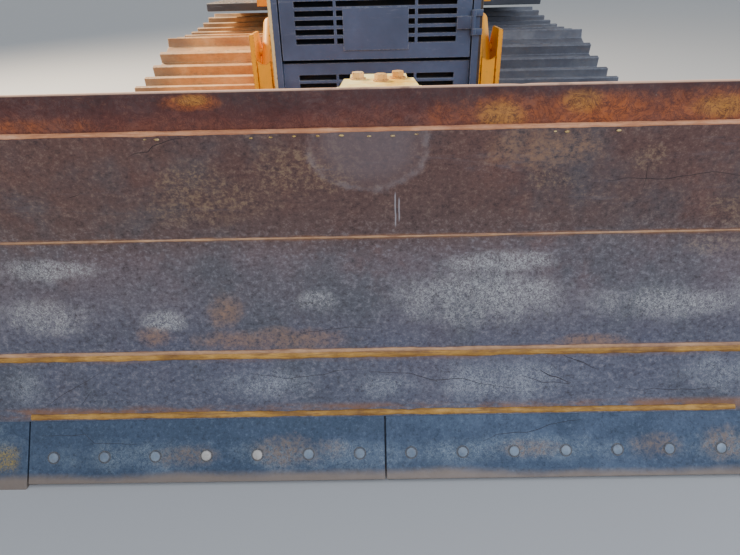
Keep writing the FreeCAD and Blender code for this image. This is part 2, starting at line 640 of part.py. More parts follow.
def build_swivel():
    """The tower on the kingpin that turns the blade, with a beam for the angle cylinders."""
    k = N["kingpin_y"]
    half = N["swivel_half_width"]
    column = box((-half, half), (k - N["swivel_front_ahead"], k - N["swivel_back_ahead"]),
                 (N["swivel_bottom"], N["swivel_top"]))
    cap_low = N["kingpin_hub_top"] + N["hub_gap"]
    wide = N["cap_half_width"]
    shoulder = k + N["cap_behind"]
    upper = box((-wide, wide), (k - N["swivel_back_ahead"] - 1, shoulder), (cap_low, N["swivel_top"]))
    outline = [(N["cap_front_half"], k - N["swivel_front_ahead"] + 1), (N["cap_rear_half"], shoulder),
               (N["cap_tongue_half"], shoulder), (N["cap_tongue_half"], k + N["cap_tongue_behind"])]
    cap = prism("XY", outline + [(-x, y) for x, y in reversed(outline)], N["swivel_top"] - N["cap_plate"],
                N["swivel_top"])
    top_ring = rod("Z", 90, cap_low, cap_low + N["swivel_lug_height"], 0, k)
    low_top = N["kingpin_hub_bottom"] - N["hub_gap"]
    lower = box((-90, 90), (k - N["swivel_back_ahead"] - 1, k), (low_top - N["swivel_lug_height"], low_top))
    low_ring = rod("Z", 90, low_top - N["swivel_lug_height"], low_top, 0, k)
    kingpin = rod("Z", N["kingpin_radius"], low_top - 20, cap_low + 20, 0, k)
    beam_y1 = k - N["beam_front_ahead"] + N["beam_depth"]
    z = N["angle_z"]
    beam = box((-N["beam_half_width"], N["beam_half_width"]), (k - N["beam_front_ahead"], beam_y1),
               (z - N["beam_height"] / 2, z + N["beam_height"] / 2))
    forks = []
    for side in (1, -1):
        centre = (N["ear_x"] * side, k - N["ear_ahead"], z)
        x = centre[0]
        root = ((x - 45, x + 45), (beam_y1 - 1, k - N["ear_ahead"]))
        forks.append(lug_pair("Z", centre, N["lug_radius"] - 6, root))
    tilt_y = k - N["tilt_plane_ahead"]
    ear_x, ear_z, ear = N["tilt_ear_x"], N["tilt_ear_z"], N["eye_radius"]
    tilt_ear = lug_pair("Y", (ear_x, tilt_y, ear_z), ear, ((ear_x, -half + 1), (ear_z - ear, ear_z + ear)),
                        plate=sized(20))
    tilt_pin = rod("Y", N["pin_radius"], tilt_y - 25, tilt_y + 25, N["tilt_ear_x"], N["tilt_ear_z"])
    pivot = rod("Y", N["tilt_pin_radius"], k - N["core_back_ahead"] - 40, k - N["swivel_front_ahead"] + 1,
                0, N["tilt_axis_z"])
    subpart("swivel_tower", fuse(column, upper, cap, top_ring, lower, low_ring, kingpin, beam, *forks,
                                 tilt_ear, tilt_pin, pivot))


def blade_profile():
    """The front face's corners in y and z, from the edge's tip to the lip's foot."""
    y = N["kingpin_y"] - N["tip_ahead"]
    z = sized(0)
    corners = [(y, z)]
    for length, slope in ((N["edge_length"], N["edge_slope"]), (N["weld_band"], N["edge_slope"]),
                          (N["low_facet"], N["low_slope"]), (N["mid_facet"], N["mid_slope"]),
                          (N["top_facet"], N["top_slope"])):
        y = y + length * cosine(slope)
        z = z + length * sine(slope)
        corners.append((y, z))
    return corners


def build_blade():
    """Moldboard of three welded facets, lip, bolted cutting edges and the box frame behind."""
    half = N["blade_width"] / 2
    tip, edge_top, p1, p2, p3, p4 = blade_profile()
    skin = N["skin"]
    gap = N["seat_gap"]
    thick = N["edge_thickness"] / sine(N["edge_slope"])
    foot_z = N["foot_clearance"]
    lean = cosine(N["edge_slope"]) / sine(N["edge_slope"])
    foot_y = tip[0] + thick + foot_z * lean + gap
    back = N["foot_plate"] / sine(N["edge_slope"])
    outline = [(foot_y, foot_z), (edge_top[0] + thick + gap, edge_top[1] + gap),
               (edge_top[0], edge_top[1] + gap),
               p1, p2, p3, p4, (p4[0] + skin, p4[1]), (p3[0] + skin, p3[1]), (p2[0] + skin, p2[1]),
               (p1[0] + thick + back, p1[1]), (foot_y + back, foot_z)]
    subpart("moldboard", prism("YZ", outline, -half, half))

    seam = N["edge_seam"] / 2
    side = half - N["end_bit_width"]
    edges = []
    for low, high, drop in ((-half, -side - seam, 0), (-side + seam, -seam, 1), (seam, side - seam, 1),
                            (side + seam, half, 0)):
        rise = N["end_bit_drop"] * drop
        foot = (tip[0] + rise * lean, tip[1] + rise)
        edge = [foot, (foot[0] + thick, foot[1]), (edge_top[0] + thick, edge_top[1]), edge_top]
        edges.append(prism("YZ", edge, low, high))
    subpart("cutting_edges", fuse(*edges))

    lip_y = p4[0] + N["lip_setback"]
    lean_y = N["lip_length"] * cosine(N["lip_slope"])
    lip_top = p4[1] + N["lip_length"] * sine(N["lip_slope"])
    lip_low = p4[1] + gap
    lip = [(lip_y, lip_low), (lip_y + lean_y, lip_top), (lip_y + lean_y + N["lip_thickness"], lip_top),
           (lip_y + N["lip_thickness"] + 20, lip_low)]
    subpart("top_lip", prism("YZ", lip, -half, half))
    build_blade_back(p1, p2, p3, p4, skin, half)


def build_blade_back(p1, p2, p3, p4, skin, half):
    """Vertical ribs, upper and lower boxes, end plates, the tilt boss and the tilt cylinder's lug."""
    k = N["kingpin_y"]
    gap = N["seat_gap"]
    rear = k - N["rib_back_ahead"]
    core = k - N["core_back_ahead"]
    top_box = [(p4[0] + skin + gap, p4[1] - 2), (p4[0] + skin + gap + 7, p4[1] - N["box_height"]),
               (rear, p4[1] - N["box_height"]), (rear, p4[1] - 40)]
    behind = [(p3[0] + skin + gap + 1, p3[1]), (p4[0] + skin + gap + 1, p4[1] - 2), (rear, p4[1] - 40),
              (rear, p3[1]), (rear, p2[1] + 40), (p2[0] + skin + gap + 3, p2[1] + 1)]
    foot = [(p2[0] + skin + gap + 10, p2[1] + 40), (p2[0] + skin + gap + 3, p2[1] + 2),
            (p1[0] + 62, p1[1] + 2), (p1[0] + 62, p1[1] - 30), (rear, p1[1] - 20), (rear, p2[1] + 40)]
    pieces = [prism("YZ", top_box, -half + 1, half - 1), prism("YZ", foot, -half + 1, half - 1)]
    thick = N["rib_thickness"]
    step = (half - N["end_plate"]) / N["rib_pairs"].value
    for i in range(1, int(N["rib_pairs"].value) + 1):
        x = step * i - (sized(0) if i < N["rib_pairs"].value else thick / 2)
        for low, high in ((x - thick / 2, x + thick / 2), (-x - thick / 2, -x + thick / 2)):
            pieces.append(prism("YZ", behind, low, high))
    wide = N["core_half_width"]
    core_plate = box((-wide, wide), (p3[0] + skin + 25, core), (p2[1] + 60, p3[1] + 60))
    boss = rod("Y", N["tilt_boss_radius"], p3[0] + skin + 15, k - N["swivel_front_ahead"] - N["swivel_gap"],
               0, N["tilt_axis_z"])
    tilt_y = k - N["tilt_plane_ahead"]
    x, z = N["tilt_lug_x"], N["tilt_lug_z"]
    fork = lug_pair("Y", (x, tilt_y, z), N["lug_radius"], ((x - 110, x), (z - 50, z + 50)), plate=sized(20))
    bracket = box((x - 110, x - 75), (rear - 1, tilt_y + 44), (z - 60, z + 60))
    reach = box((x - 110, x + 95), (p4[0] + skin + 22, rear + 20), (z - 60, z + 60))
    whole = fuse(*pieces, core_plate, boss, fork, bracket, reach)
    bore = rod("Y", N["tilt_pin_radius"] + N["pin_gap"], k - N["core_back_ahead"] - 41,
               k - N["swivel_front_ahead"], 0, N["tilt_axis_z"])
    subpart("blade_back", cut(whole, bore))


def along_line(piece, start, end, spin=0):
    """Lays a piece made along +Z from the origin on the line between two points."""
    begin = FreeCAD.Vector(*[float(c) for c in start])
    finish = FreeCAD.Vector(*[float(c) for c in end])
    turn = FreeCAD.Rotation(AXES["Z"], finish - begin)
    piece.Placement = FreeCAD.Placement(begin, turn.multiply(FreeCAD.Rotation(AXES["Z"], spin)))
    return piece


def distance(start, end):
    return math.dist([float(c) for c in start], [float(c) for c in end])


def barrel_with_eye(radius, bore_radius, length, base_end, eye_axis):
    """A barrel whose base eye is at the origin, open at its gland for the rod."""
    barrel = rod("Z", radius, 44, length - N["gland_length"], 0, 0)
    neck = rod("Z", N["eye_width"] / 2 - 2, 20, 45, 0, 0)
    gland = rod("Z", radius + 5, length - N["gland_length"], length, 0, 0)
    eye = rod(eye_axis, N["eye_radius"], -N["eye_width"] / 2, N["eye_width"] / 2, 0, 0)
    whole = fuse(barrel, neck, gland, eye)
    bore = rod("Z", bore_radius, base_end, length + 1, 0, 0)
    pin_hole = rod(eye_axis, N["pin_radius"] + N["pin_gap"], -N["eye_width"], N["eye_width"], 0, 0)
    return cut(whole, bore, pin_hole)


def rod_with_eye(radius, length, reach, eye_axis, name):
    """A rod made downwards from its eye, which is reach beyond the barrel's base eye."""
    shaft = rod("Z", radius, reach - length, reach, 0, 0)
    eye = rod(eye_axis, N["eye_radius"], -N["eye_width"] / 2, N["eye_width"] / 2, 0, reach)
    return fuse(shaft, eye, label=name)


def build_cylinders():
    """Lift, angle and tilt cylinders at their rest lengths."""
    for name, side in (("left", 1), ("right", -1)):
        build_lift_cylinder(name, side)
        build_angle_cylinder(name, side)
    build_tilt_cylinder()


def build_lift_cylinder(name, side):
    trunnion = (N["lift_x"] * side, N["trunnion_y"], N["trunnion_z"])
    eye = (N["lift_x"] * side, N["lift_lug_y"], N["lift_lug_z"])
    reach = distance(trunnion, eye)
    ahead = N["lift_barrel_ahead"]
    barrel = rod("Z", N["lift_barrel_radius"], -N["lift_barrel_behind"], ahead - N["gland_length"], 0, 0)
    gland = rod("Z", N["lift_barrel_radius"], ahead - N["gland_length"] - 1, ahead, 0, 0)
    dome = solid_object("Part::Sphere", "dome")
    bind(dome, Radius=N["lift_barrel_radius"], Placement__Base__z=-N["lift_barrel_behind"])
    inner = N["lift_x"] - N["guard_half_width"] - N["seat_gap"]
    outer = N["tower_outer_x"] - N["lift_x"] - 1
    stub = rod("X", N["trunnion_radius"], -inner if side > 0 else -outer, outer if side > 0 else inner, 0, 0)
    bore = rod("Z", N["lift_rod_radius"] + N["pin_gap"], N["cap_end"] - N["lift_barrel_behind"],
               ahead + 1, 0, 0)
    whole = along_line(cut(fuse(barrel, gland, dome, stub), bore), trunnion, eye)
    subpart("lift_barrel_" + name, fuse(whole, cylinder_guard(side)))
    rod_piece = rod_with_eye(N["lift_rod_radius"], N["lift_rod_length"], sized(reach), "X", "lift_rod")
    subpart("lift_rod_" + name, along_line(rod_piece, trunnion, eye))


def cylinder_guard(side):
    """The plate on a lift barrel that closes the tower's notch below the trunnion."""
    half = N["cylinder_guard_half"]
    x = N["lift_x"] * side
    y0 = N["tower_front_y"]
    low = N["guard_bottom_z"]
    plate = box((x - half, x + half), (y0, y0 + N["tower_plate"]), (low, N["notch_bottom"] + 14))
    notch = rod("Y", N["notch_width"] / 2, y0 - 1, y0 + 61, x, N["notch_bottom"] + N["notch_width"] / 2)
    return cut(plate, notch)


def build_angle_cylinder(name, side):
    base = (N["angle_lug_x"] * side, N["angle_lug_y"], N["angle_z"])
    eye = (N["ear_x"] * side, N["kingpin_y"] - N["ear_ahead"], N["angle_z"])
    reach = distance(base, eye)
    line = FreeCAD.Vector(*[float(b) - float(a) for a, b in zip(base, eye)])
    turn = FreeCAD.Rotation(AXES["Z"], line)
    upright = turn.inverted().multVec(AXES["Z"])
    eye_axis = "X" if abs(upright.x) > abs(upright.y) else "Y"
    spin = math.degrees(math.atan2(upright.y, upright.x)) - (0 if eye_axis == "X" else 90)
    barrel = barrel_with_eye(N["angle_barrel_radius"], N["angle_rod_radius"] + N["pin_gap"],
                             N["angle_barrel_length"], N["base_end"], eye_axis)
    subpart("angle_barrel_" + name, along_line(barrel, base, eye, spin))
    rod_piece = rod_with_eye(N["angle_rod_radius"], N["angle_rod_length"], sized(reach), eye_axis,
                             "angle_rod")
    subpart("angle_rod_" + name, along_line(rod_piece, base, eye, spin))


def build_tilt_cylinder():
    y = N["kingpin_y"] - N["tilt_plane_ahead"]
    base = (N["tilt_ear_x"], y, N["tilt_ear_z"])
    eye = (N["tilt_lug_x"], y, N["tilt_lug_z"])
    reach = distance(base, eye)
    line = FreeCAD.Vector(*[float(b) - float(a) for a, b in zip(base, eye)])
    turn = FreeCAD.Rotation(AXES["Z"], line)
    level = turn.inverted().multVec(AXES["Y"])
    eye_axis = "X" if abs(level.x) > abs(level.y) else "Y"
    spin = math.degrees(math.atan2(level.y, level.x)) - (0 if eye_axis == "X" else 90)
    barrel = barrel_with_eye(N["tilt_barrel_radius"], N["tilt_rod_radius"] + N["pin_gap"],
                             N["tilt_barrel_length"], N["base_end"], eye_axis)
    subpart("tilt_barrel", along_line(barrel, base, eye, spin))
    rod_piece = rod_with_eye(N["tilt_rod_radius"], N["tilt_rod_length"], sized(reach), eye_axis, "tilt_rod")
    subpart("tilt_rod", along_line(rod_piece, base, eye, spin))


def build_towers():
    """Plates beside the grille that carry the lift cylinders' trunnions, each notched in front."""
    inner = N["guard_half_width"] + N["seat_gap"]
    outer = N["tower_outer_x"]
    plate = N["tower_plate"]
    y0 = N["tower_front_y"]
    front = box((inner, outer), (y0, y0 + plate), (N["tower_bottom"], N["tower_top"]))
    notch = box((N["lift_x"] - N["notch_width"] / 2, N["lift_x"] + N["notch_width"] / 2),
                (y0 - 1, y0 + plate + 1), (N["tower_bottom"] - 1, N["tower_top"] + 1))
    low_gap = box((inner - 1, outer - plate), (y0 - 1, y0 + plate + 1),
                  (N["tower_bottom"] - 1, N["guard_bottom_z"]))
    web = prism("YZ", [(y0, N["tower_bottom"]), (y0 + N["tower_depth"], N["tower_bottom"]),
                       (y0 + N["tower_depth"], N["tower_top"] - 120),
                       (y0 + N["tower_depth"] - 90, N["tower_top"]),
                       (y0, N["tower_top"])], outer - plate, outer)
    back = box((inner, outer - plate + 1), (y0 + N["tower_depth"] - plate, y0 + N["tower_depth"]),
               (N["tower_bottom"], N["notch_bottom"] - 200))
    hole = rod("X", N["trunnion_radius"] + 0.5, outer - plate - 1, outer + 1,
               N["trunnion_y"], N["trunnion_z"])
    tower = cut(fuse(front, web, back), notch, low_gap, hole)
    subpart("lift_towers", both_sides(tower))


def hinge_set(x, y, heights, door_leaf, fixed_leaf):
    """Knuckles on an upright axis: those of the door, and those of its frame with the pins.

    A leaf is the low and high x and y of the plate from the axis to the door or to the frame."""
    radius = N["knuckle_radius"]
    long = N["knuckle_length"]
    door, frame = [], []
    for z in heights:
        door.append(cut(fuse(rod("Z", radius, z - long / 2, z + long / 2, x, y),
                             box(*door_leaf, (z - long / 2, z + long / 2))),
                        rod("Z", N["hinge_pin_radius"] + N["seat_gap"], z - long, z + long, x, y)))
        frame.append(rod("Z", N["hinge_pin_radius"], z - long, z + long, x, y))
        for low in (z - long, z + long / 2 + N["seat_gap"]):
            high = low + long / 2 - N["seat_gap"]
            frame.append(fuse(rod("Z", radius, low, high, x, y), box(*fixed_leaf, (low, high))))
    return fuse(*door), fuse(*frame)


def slot_tools(low_z, count, front, rear, blank=0):
    """Cutters for rows of grille slots between the upright bars and beside a blank middle."""
    bar_in, bar_out, outer = N["bar_inner_x"], N["bar_outer_x"], N["slot_outer_x"]
    spans = [(-outer, -bar_out), (bar_out, outer)]
    if blank:
        spans = spans + [(-bar_in, -blank), (blank, bar_in)]
    else:
        spans.append((-bar_in, bar_in))
    tools = []
    for i in range(int(float(count))):
        z = low_z + N["slot_pitch"] * i
        for low, high in spans:
            tools.append(box((low, high), (front, rear), (z, z + N["slot_height"])))
    return tools


def build_front_guard():
    """Radiator guard frame, its fixed lower grille and the hinged upper grille door."""
    half = N["guard_half_width"]
    y0 = N["grille_y"]
    y1 = y0 + N["guard_depth"]
    low = N["frame_top"]
    inside = half - N["guard_post"]
    shell = box((-half, half), (y0, y1), (low, N["guard_top"]))
    opening = box((-inside, inside), (y0 - 1, y1 - 40), (low + 30, N["guard_top"] - 60))
    window = box((-inside + 30, inside - 30), (y1 - 41, y1 + 1), (low + 60, N["guard_top"] - 110))
    hinge_x, hinge_y = N["door_half_width"] + 6, y0 - N["hinge_stand_off"]
    leaf, seat = hinge_set(hinge_x, hinge_y, (N["slot_top"] - 62, N["door_top"] - 110),
                           ((hinge_x - 70, hinge_x), (hinge_y, y0 + N["door_setback"] + 1)),
                           ((hinge_x, half), (hinge_y, y0 + 1)))
    subpart("radiator_guard", fuse(cut(shell, opening, window), seat))
    seat = N["seat_gap"]
    core = box((-inside + seat, inside - seat), (y1 - 110, y1 - 40 - seat),
               (low + 30 + seat, N["guard_top"] - 60 - seat))
    subpart("radiator_core", core)
    lower_top = N["door_bottom"] - N["door_gap"] * 2
    panel = box((-inside + seat, inside - seat), (y0 + 24, y0 + 50), (low + 30 + seat, lower_top))
    count = N["lower_slot_count"]
    first = N["door_bottom"] - 90 - N["slot_pitch"] * (count - 1)
    subpart("lower_grille", cut(panel, *slot_tools(first, count, y0 + 20, y0 + 60)))

    wide = N["door_half_width"]
    front = y0 + N["door_setback"]
    rear = front + N["door_thickness"]
    panel = box((-wide, wide), (front, rear), (N["door_bottom"], N["door_top"]))
    slots = slot_tools(N["slot_top"] - N["slot_pitch"] * (N["slot_count"] - 1) + 10, N["slot_count"] - 1,
                       front - 1, rear + 1, N["blank_half_width"])
    slots = slots + slot_tools(N["slot_top"] + 10, 1, front - 1, rear + 1)
    slots = slots + slot_tools(N["slot_top"] + 100, N["upper_slot_count"], front - 1, rear + 1)
    blank = box((-N["blank_half_width"], N["blank_half_width"]), (front - N["blank_step"], front + 1),
                (N["blank_low"], N["slot_top"] + 5))
    subpart("grille_door", fuse(cut(panel, *slots), blank, leaf))


def build_hood():
    """Hood top, engine side doors, the engine block, exhaust stack and air precleaner."""
    y0, y1 = N["hood_front_y"], N["hood_rear_y"]
    half = N["hood_half_width"]
    top = N["hood_top"]
    shoulder = N["hood_shoulder"]
    plate = N["hood_plate"]
    low = N["hood_bottom"]
    section = [(-half, low), (-half, top - shoulder), (-half + shoulder, top), (half - shoulder, top),
               (half, top - shoulder), (half, low), (half - plate, low), (half - plate, top - shoulder - 2),
               (half - shoulder - 2, top - plate), (-half + shoulder + 2, top - plate),
               (-half + plate, top - shoulder - 2), (-half + plate, low)]
    shell = prism("XZ", section, y0 + 0.3, y1)
    cleaner_pipe = N["stack_radius"] + 5
    openings = [rod("Z", N["stack_radius"] + 4, top - 40, top + 10, N["stack_x"], N["stack_y"]),
                rod("Z", cleaner_pipe + 4, top - 40, top + 10, N["cleaner_x"], N["cleaner_y"])]
    subpart("hood", cut(shell, *openings))
    door_y0, door_y1 = N["engine_door_front_y"], y1 - 3
    door_low = N["engine_door_bottom"]
    inner = half - N["engine_door_thickness"]
    gap = N["panel_gap"]
    panel = fuse(box((inner, half), (y0 + 0.3, y1), (N["frame_top"], door_low - gap)),
                 box((inner, half), (y0 + 0.3, door_y0 - gap), (N["frame_top"], low)))
    hinge_x, hinge_y = half + N["hinge_stand_off"], door_y0 - gap / 2
    leaf, seat = hinge_set(hinge_x, hinge_y, (door_low + 90, low - 95),
                           ((half - 1, hinge_x), (hinge_y, hinge_y + 45)),
                           ((half - 1, hinge_x), (hinge_y - 45, hinge_y)))
    subpart("side_panels", both_sides(fuse(panel, seat)))
    louvres = []
    middle = (door_y0 + door_y1) / 2
    for start in (middle - N["louvre_length"] - 30, middle + 30):
        for i in range(int(N["louvre_rows"].value)):
            z = door_low + 75 + N["louvre_pitch"] * i
            louvres.append(box((inner - 1, half + 1), (start, start + N["louvre_length"]),
                               (z, z + N["louvre_height"])))
    door = fuse(cut(box((inner, half), (door_y0, door_y1), (door_low, low - gap)), *louvres), leaf)
    subpart("engine_door_left", door)
    subpart("engine_door_right", mirrored(door))
    engine = box((-N["engine_half_width"], N["engine_half_width"]), (N["engine_front_y"], N["engine_rear_y"]),
                 (N["frame_top"], N["engine_top"]))
    subpart("engine_block", engine)
    x, y = N["stack_x"], N["stack_y"]
    pipe, wide = N["stack_radius"], N["muffler_radius"]
    stack = [rod("Z", pipe, N["engine_top"], N["stack_top"], x, y),
             rod("Z", wide, N["muffler_low"], N["muffler_high"], x, y),
             taper(pipe - 1, wide, N["muffler_low"] - N["muffler_cone"], N["muffler_low"] + 1, x, y),
             taper(wide, pipe - 1, N["muffler_high"] - 1, N["muffler_high"] + N["muffler_cone"], x, y)]
    slant = prism("YZ", [(y - 200, N["stack_top"] - 90), (y - 200, N["stack_top"] + 10),
                         (y + 200, N["stack_top"] + 10)], x - 100, x + 100)
    hollow = rod("Z", pipe - 5, N["stack_top"] - 150, N["stack_top"] + 10, x, y)
    subpart("exhaust_stack", cut(fuse(*stack), slant, hollow))
    x, y = N["cleaner_x"], N["cleaner_y"]
    bowl = top + 150
    cleaner_top = bowl + N["cleaner_height"]
    cleaner = fuse(rod("Z", cleaner_pipe, N["engine_top"], cleaner_top, x, y),
                   rod("Z", N["cleaner_radius"], bowl, cleaner_top - 40, x, y),
                   taper(cleaner_pipe - 1, N["cleaner_radius"], bowl - 50, bowl + 1, x, y),
                   taper(N["cleaner_radius"], cleaner_pipe + 1, cleaner_top - 41, cleaner_top, x, y))
    subpart("air_precleaner", cleaner)
    cowl = box((-half, half), (y1 + N["seat_gap"], N["cab_front_y"]), (N["deck_z"], low + 120))
    subpart("cowl", cowl)


def build_cab():
    """Hollow cab with window openings, two hinged doors, roof, seat, consoles, fenders and tank."""
    half = N["cab_half_width"]
    y0, y1 = N["cab_front_y"], N["cab_rear_y"]
    z0, z1 = N["deck_z"], N["cab_top_z"] - N["roof_thickness"]
    post = N["cab_post"]
    wall = N["cab_door_thickness"]
    front_y = y0
    waist = N["cab_waist_z"]
    shell = box((-half, half), (front_y, y1), (z0, z1))
    room = box((-half + wall, half - wall), (front_y + wall, y1 - wall), (z0 + N["cab_floor_plate"], z1 - 50))
    windscreen = box((-half + post, half - post), (front_y - 1, front_y + wall + 1), (waist, z1 - post))
    corner_x = (N["hood_half_width"] + post, half - post)
    corner_z = (z0 + 2 * post, waist - post)
    corner_windows = both_sides(box(corner_x, (front_y - 1, front_y + wall + 1), corner_z))
    rear_window = box((-half + post, half - post), (y1 - wall - 1, y1 + 1), (waist, z1 - post))
    gap = N["panel_gap"]
    doorway = (N["cab_door_front_y"] - gap, N["cab_door_rear_y"] + gap)
    door_cut = box((-half - 1, half + 1), doorway, (N["cab_door_bottom"] - gap, z1 - post + gap))
    side_window = box((-half - 1, half + 1), (N["cab_door_rear_y"] + post, y1 - post), (waist, z1 - post))
    top = z1 - post
    hinge_x, hinge_y = half + N["hinge_stand_off"], N["cab_door_rear_y"] + gap / 2
    leaf, seat = hinge_set(hinge_x, hinge_y, (N["cab_door_bottom"] + 180, top - 180),
                           ((half - 1, hinge_x), (hinge_y - 45, hinge_y)),
                           ((half - 1, hinge_x), (hinge_y, hinge_y + 45)))
    walls = cut(shell, room, windscreen, corner_windows, rear_window, door_cut, side_window)
    subpart("cab_shell", fuse(walls, both_sides(seat)))
    roof_over = N["roof_overhang"]
    roof = prism("YZ", [(front_y - roof_over, z1 + 20), (front_y - roof_over + 30, N["cab_top_z"] - 25),
                        (front_y + 120, N["cab_top_z"]), (y1 - 60, N["cab_top_z"]), (y1 + roof_over, z1 + 60),
                        (y1 + roof_over, z1), (front_y - roof_over, z1)], -half - 20, half + 20)
    subpart("cab_roof", roof)
    g = N["glass"]
    seat = N["seat_gap"]
    across = (-half + post + seat, half - post - seat)
    upper = (waist + seat, z1 - post - seat)
    front_span = (front_y + 12, front_y + 12 + g)
    side_y = (N["cab_door_rear_y"] + post + seat, y1 - post - seat)
    corner = box((corner_x[0] + seat, corner_x[1] - seat), front_span,
                 (corner_z[0] + seat, corner_z[1] - seat))
    side = box((half - 20, half - 20 + g), side_y, upper)
    subpart("cab_glass", fuse(box(across, front_span, upper), box(across, (y1 - 20, y1 - 20 + g), upper),
                              both_sides(corner), both_sides(side)))
    rail = N["door_rail"]
    frame = box((half - wall, half), (N["cab_door_front_y"], N["cab_door_rear_y"]),
                (N["cab_door_bottom"], top))
    opening = box((half - wall - 1, half + 1), (N["cab_door_front_y"] + rail, N["cab_door_rear_y"] - rail),
                  (waist - 250, top - rail))
    door = fuse(cut(frame, opening), leaf)
    rail = rail + N["seat_gap"]
    pane = box((half - 22, half - 22 + g), (N["cab_door_front_y"] + rail, N["cab_door_rear_y"] - rail),
               (waist - 250 + N["seat_gap"], top - rail))
    for name, piece in (("cab_door", door), ("door_glass", pane)):
        subpart(name + "_left", piece)
        subpart(name + "_right", mirrored(piece))
    floor = z0 + N["cab_floor_plate"]
    seat_half = N["seat_width"] / 2
    seat_low = floor + N["seat_base_height"]
    cushion = box((-seat_half, seat_half), (N["seat_y"] - 300, N["seat_y"] + 180),
                  (seat_low, seat_low + N["cushion_thickness"]))
    base = box((-180, 180), (N["seat_y"] - 180, N["seat_y"] + 160), (floor, seat_low))
    back = prism("YZ", [(N["seat_y"] + 120, floor + 395), (N["seat_y"] + 240, floor + 395),
                        (N["seat_y"] + 330, floor + N["backrest_height"]),
                        (N["seat_y"] + 220, floor + N["backrest_height"])],
                 -seat_half, seat_half)
    subpart("operator_seat", fuse(cushion, base, back))
    console = box((seat_half + 40, seat_half + 200), (N["seat_y"] - 380, N["seat_y"] + 200),
                  (floor, floor + N["console_height"]))
    subpart("consoles", both_sides(console))
    dash = prism("YZ", [(front_y + wall, floor), (front_y + wall + 200, floor),
                        (front_y + wall + 280, waist - 260),
                        (front_y + wall, waist - 80)], -330, 330)
    subpart("dash", dash)


def build_rear():
    """Fenders beside the deck, the fuel tank behind the cab, work lamps and grab rails."""
    frame_half = N["frame_half_width"]
    z1 = N["deck_z"]
    fender = box((frame_half + N["seat_gap"], N["fender_outer_x"]), (N["fender_front_y"], N["fender_rear_y"]),
                 (z1 - N["fender_plate"], z1 - N["seat_gap"]))
    subpart("fenders", both_sides(fender))
    half = N["tank_half_width"]
    y0, y1 = N["tank_front_y"], N["tank_rear_y"]
    top = N["tank_top"]
    section = [(y0, z1), (y1 - 60, z1), (y1, z1 + 80), (y1, top - 160), (y1 - 120, top), (y0, top)]
    cap = rod("Z", N["tank_cap_radius"], top - 1, top + 45, -half / 2, y0 + 150)
    subpart("fuel_tank", fuse(prism("YZ", section, -half, half), cap))
    roof_low = N["cab_top_z"] - N["roof_thickness"] - N["seat_gap"]
    radius, depth = N["lamp_radius"], N["lamp_depth"]
    lamps = []
    for y in (N["cab_front_y"] - 15 - depth, N["cab_rear_y"] + 15):
        z = roof_low - radius - 14
        x = N["cab_half_width"] - 210
        bracket = box((x - 20, x + 20), (y + 15, y + depth - 15), (z, roof_low))
        lamps.append(fuse(rod("Y", radius, y, y + depth, x, z), bracket))
    y = N["hood_front_y"] + 40
    z = N["hood_top"] + N["seat_gap"]
    x = N["hood_lamp_x"]
    foot = box((x - 20, x + 20), (y + 15, y + depth - 15), (z, z + radius + 20))
    lamps.append(fuse(rod("Y", radius, y, y + depth, x, z + radius + 20), foot))
    subpart("work_lamps", both_sides(fuse(*lamps)))
    wall = N["cab_half_width"]
    x = wall + 62
    y = N["cab_front_y"] + 42
    low, high = N["deck_z"] + N["rail_above_deck"], N["cab_top_z"] - N["rail_below_roof"]
    rail = [rod("Z", N["rail_radius"], low, high, x, y)]
    for z in (low + 30, high - 30):
        rail.append(rod("X", N["rail_radius"], wall + N["seat_gap"], x, y, z))
    subpart("grab_rails", both_sides(fuse(*rail)))


def write_parts():
    """Checks every object and writes one file for each sub-part."""
    DOC.recompute()
    wrong = [thing.Label for thing in DOC.Objects if {"Invalid", "Error"} & set(thing.State)]
    for name, piece in SUBPARTS:
        if piece.Shape.isNull() or not piece.Shape.isValid() or not piece.Shape.Solids:
            wrong.append(name)
    if wrong:
        raise RuntimeError("these failed: " + ", ".join(wrong))
    os.makedirs("parts", exist_ok=True)
    for name, piece in SUBPARTS:
        piece.Shape.exportStep(f"parts/{name}.step")
    print(len(SUBPARTS), "sub-parts")


build_tracks()
build_running_gear()
build_track_frames()
build_main_frame()
build_push_frame()
build_swivel()
build_blade()
build_cylinders()
build_towers()
build_front_guard()
build_hood()
build_cab()
build_rear()
write_parts()
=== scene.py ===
import json
import math
import random

import bmesh
import bpy
from mathutils import Matrix, Vector, noise
from mathutils.bvhtree import BVHTree

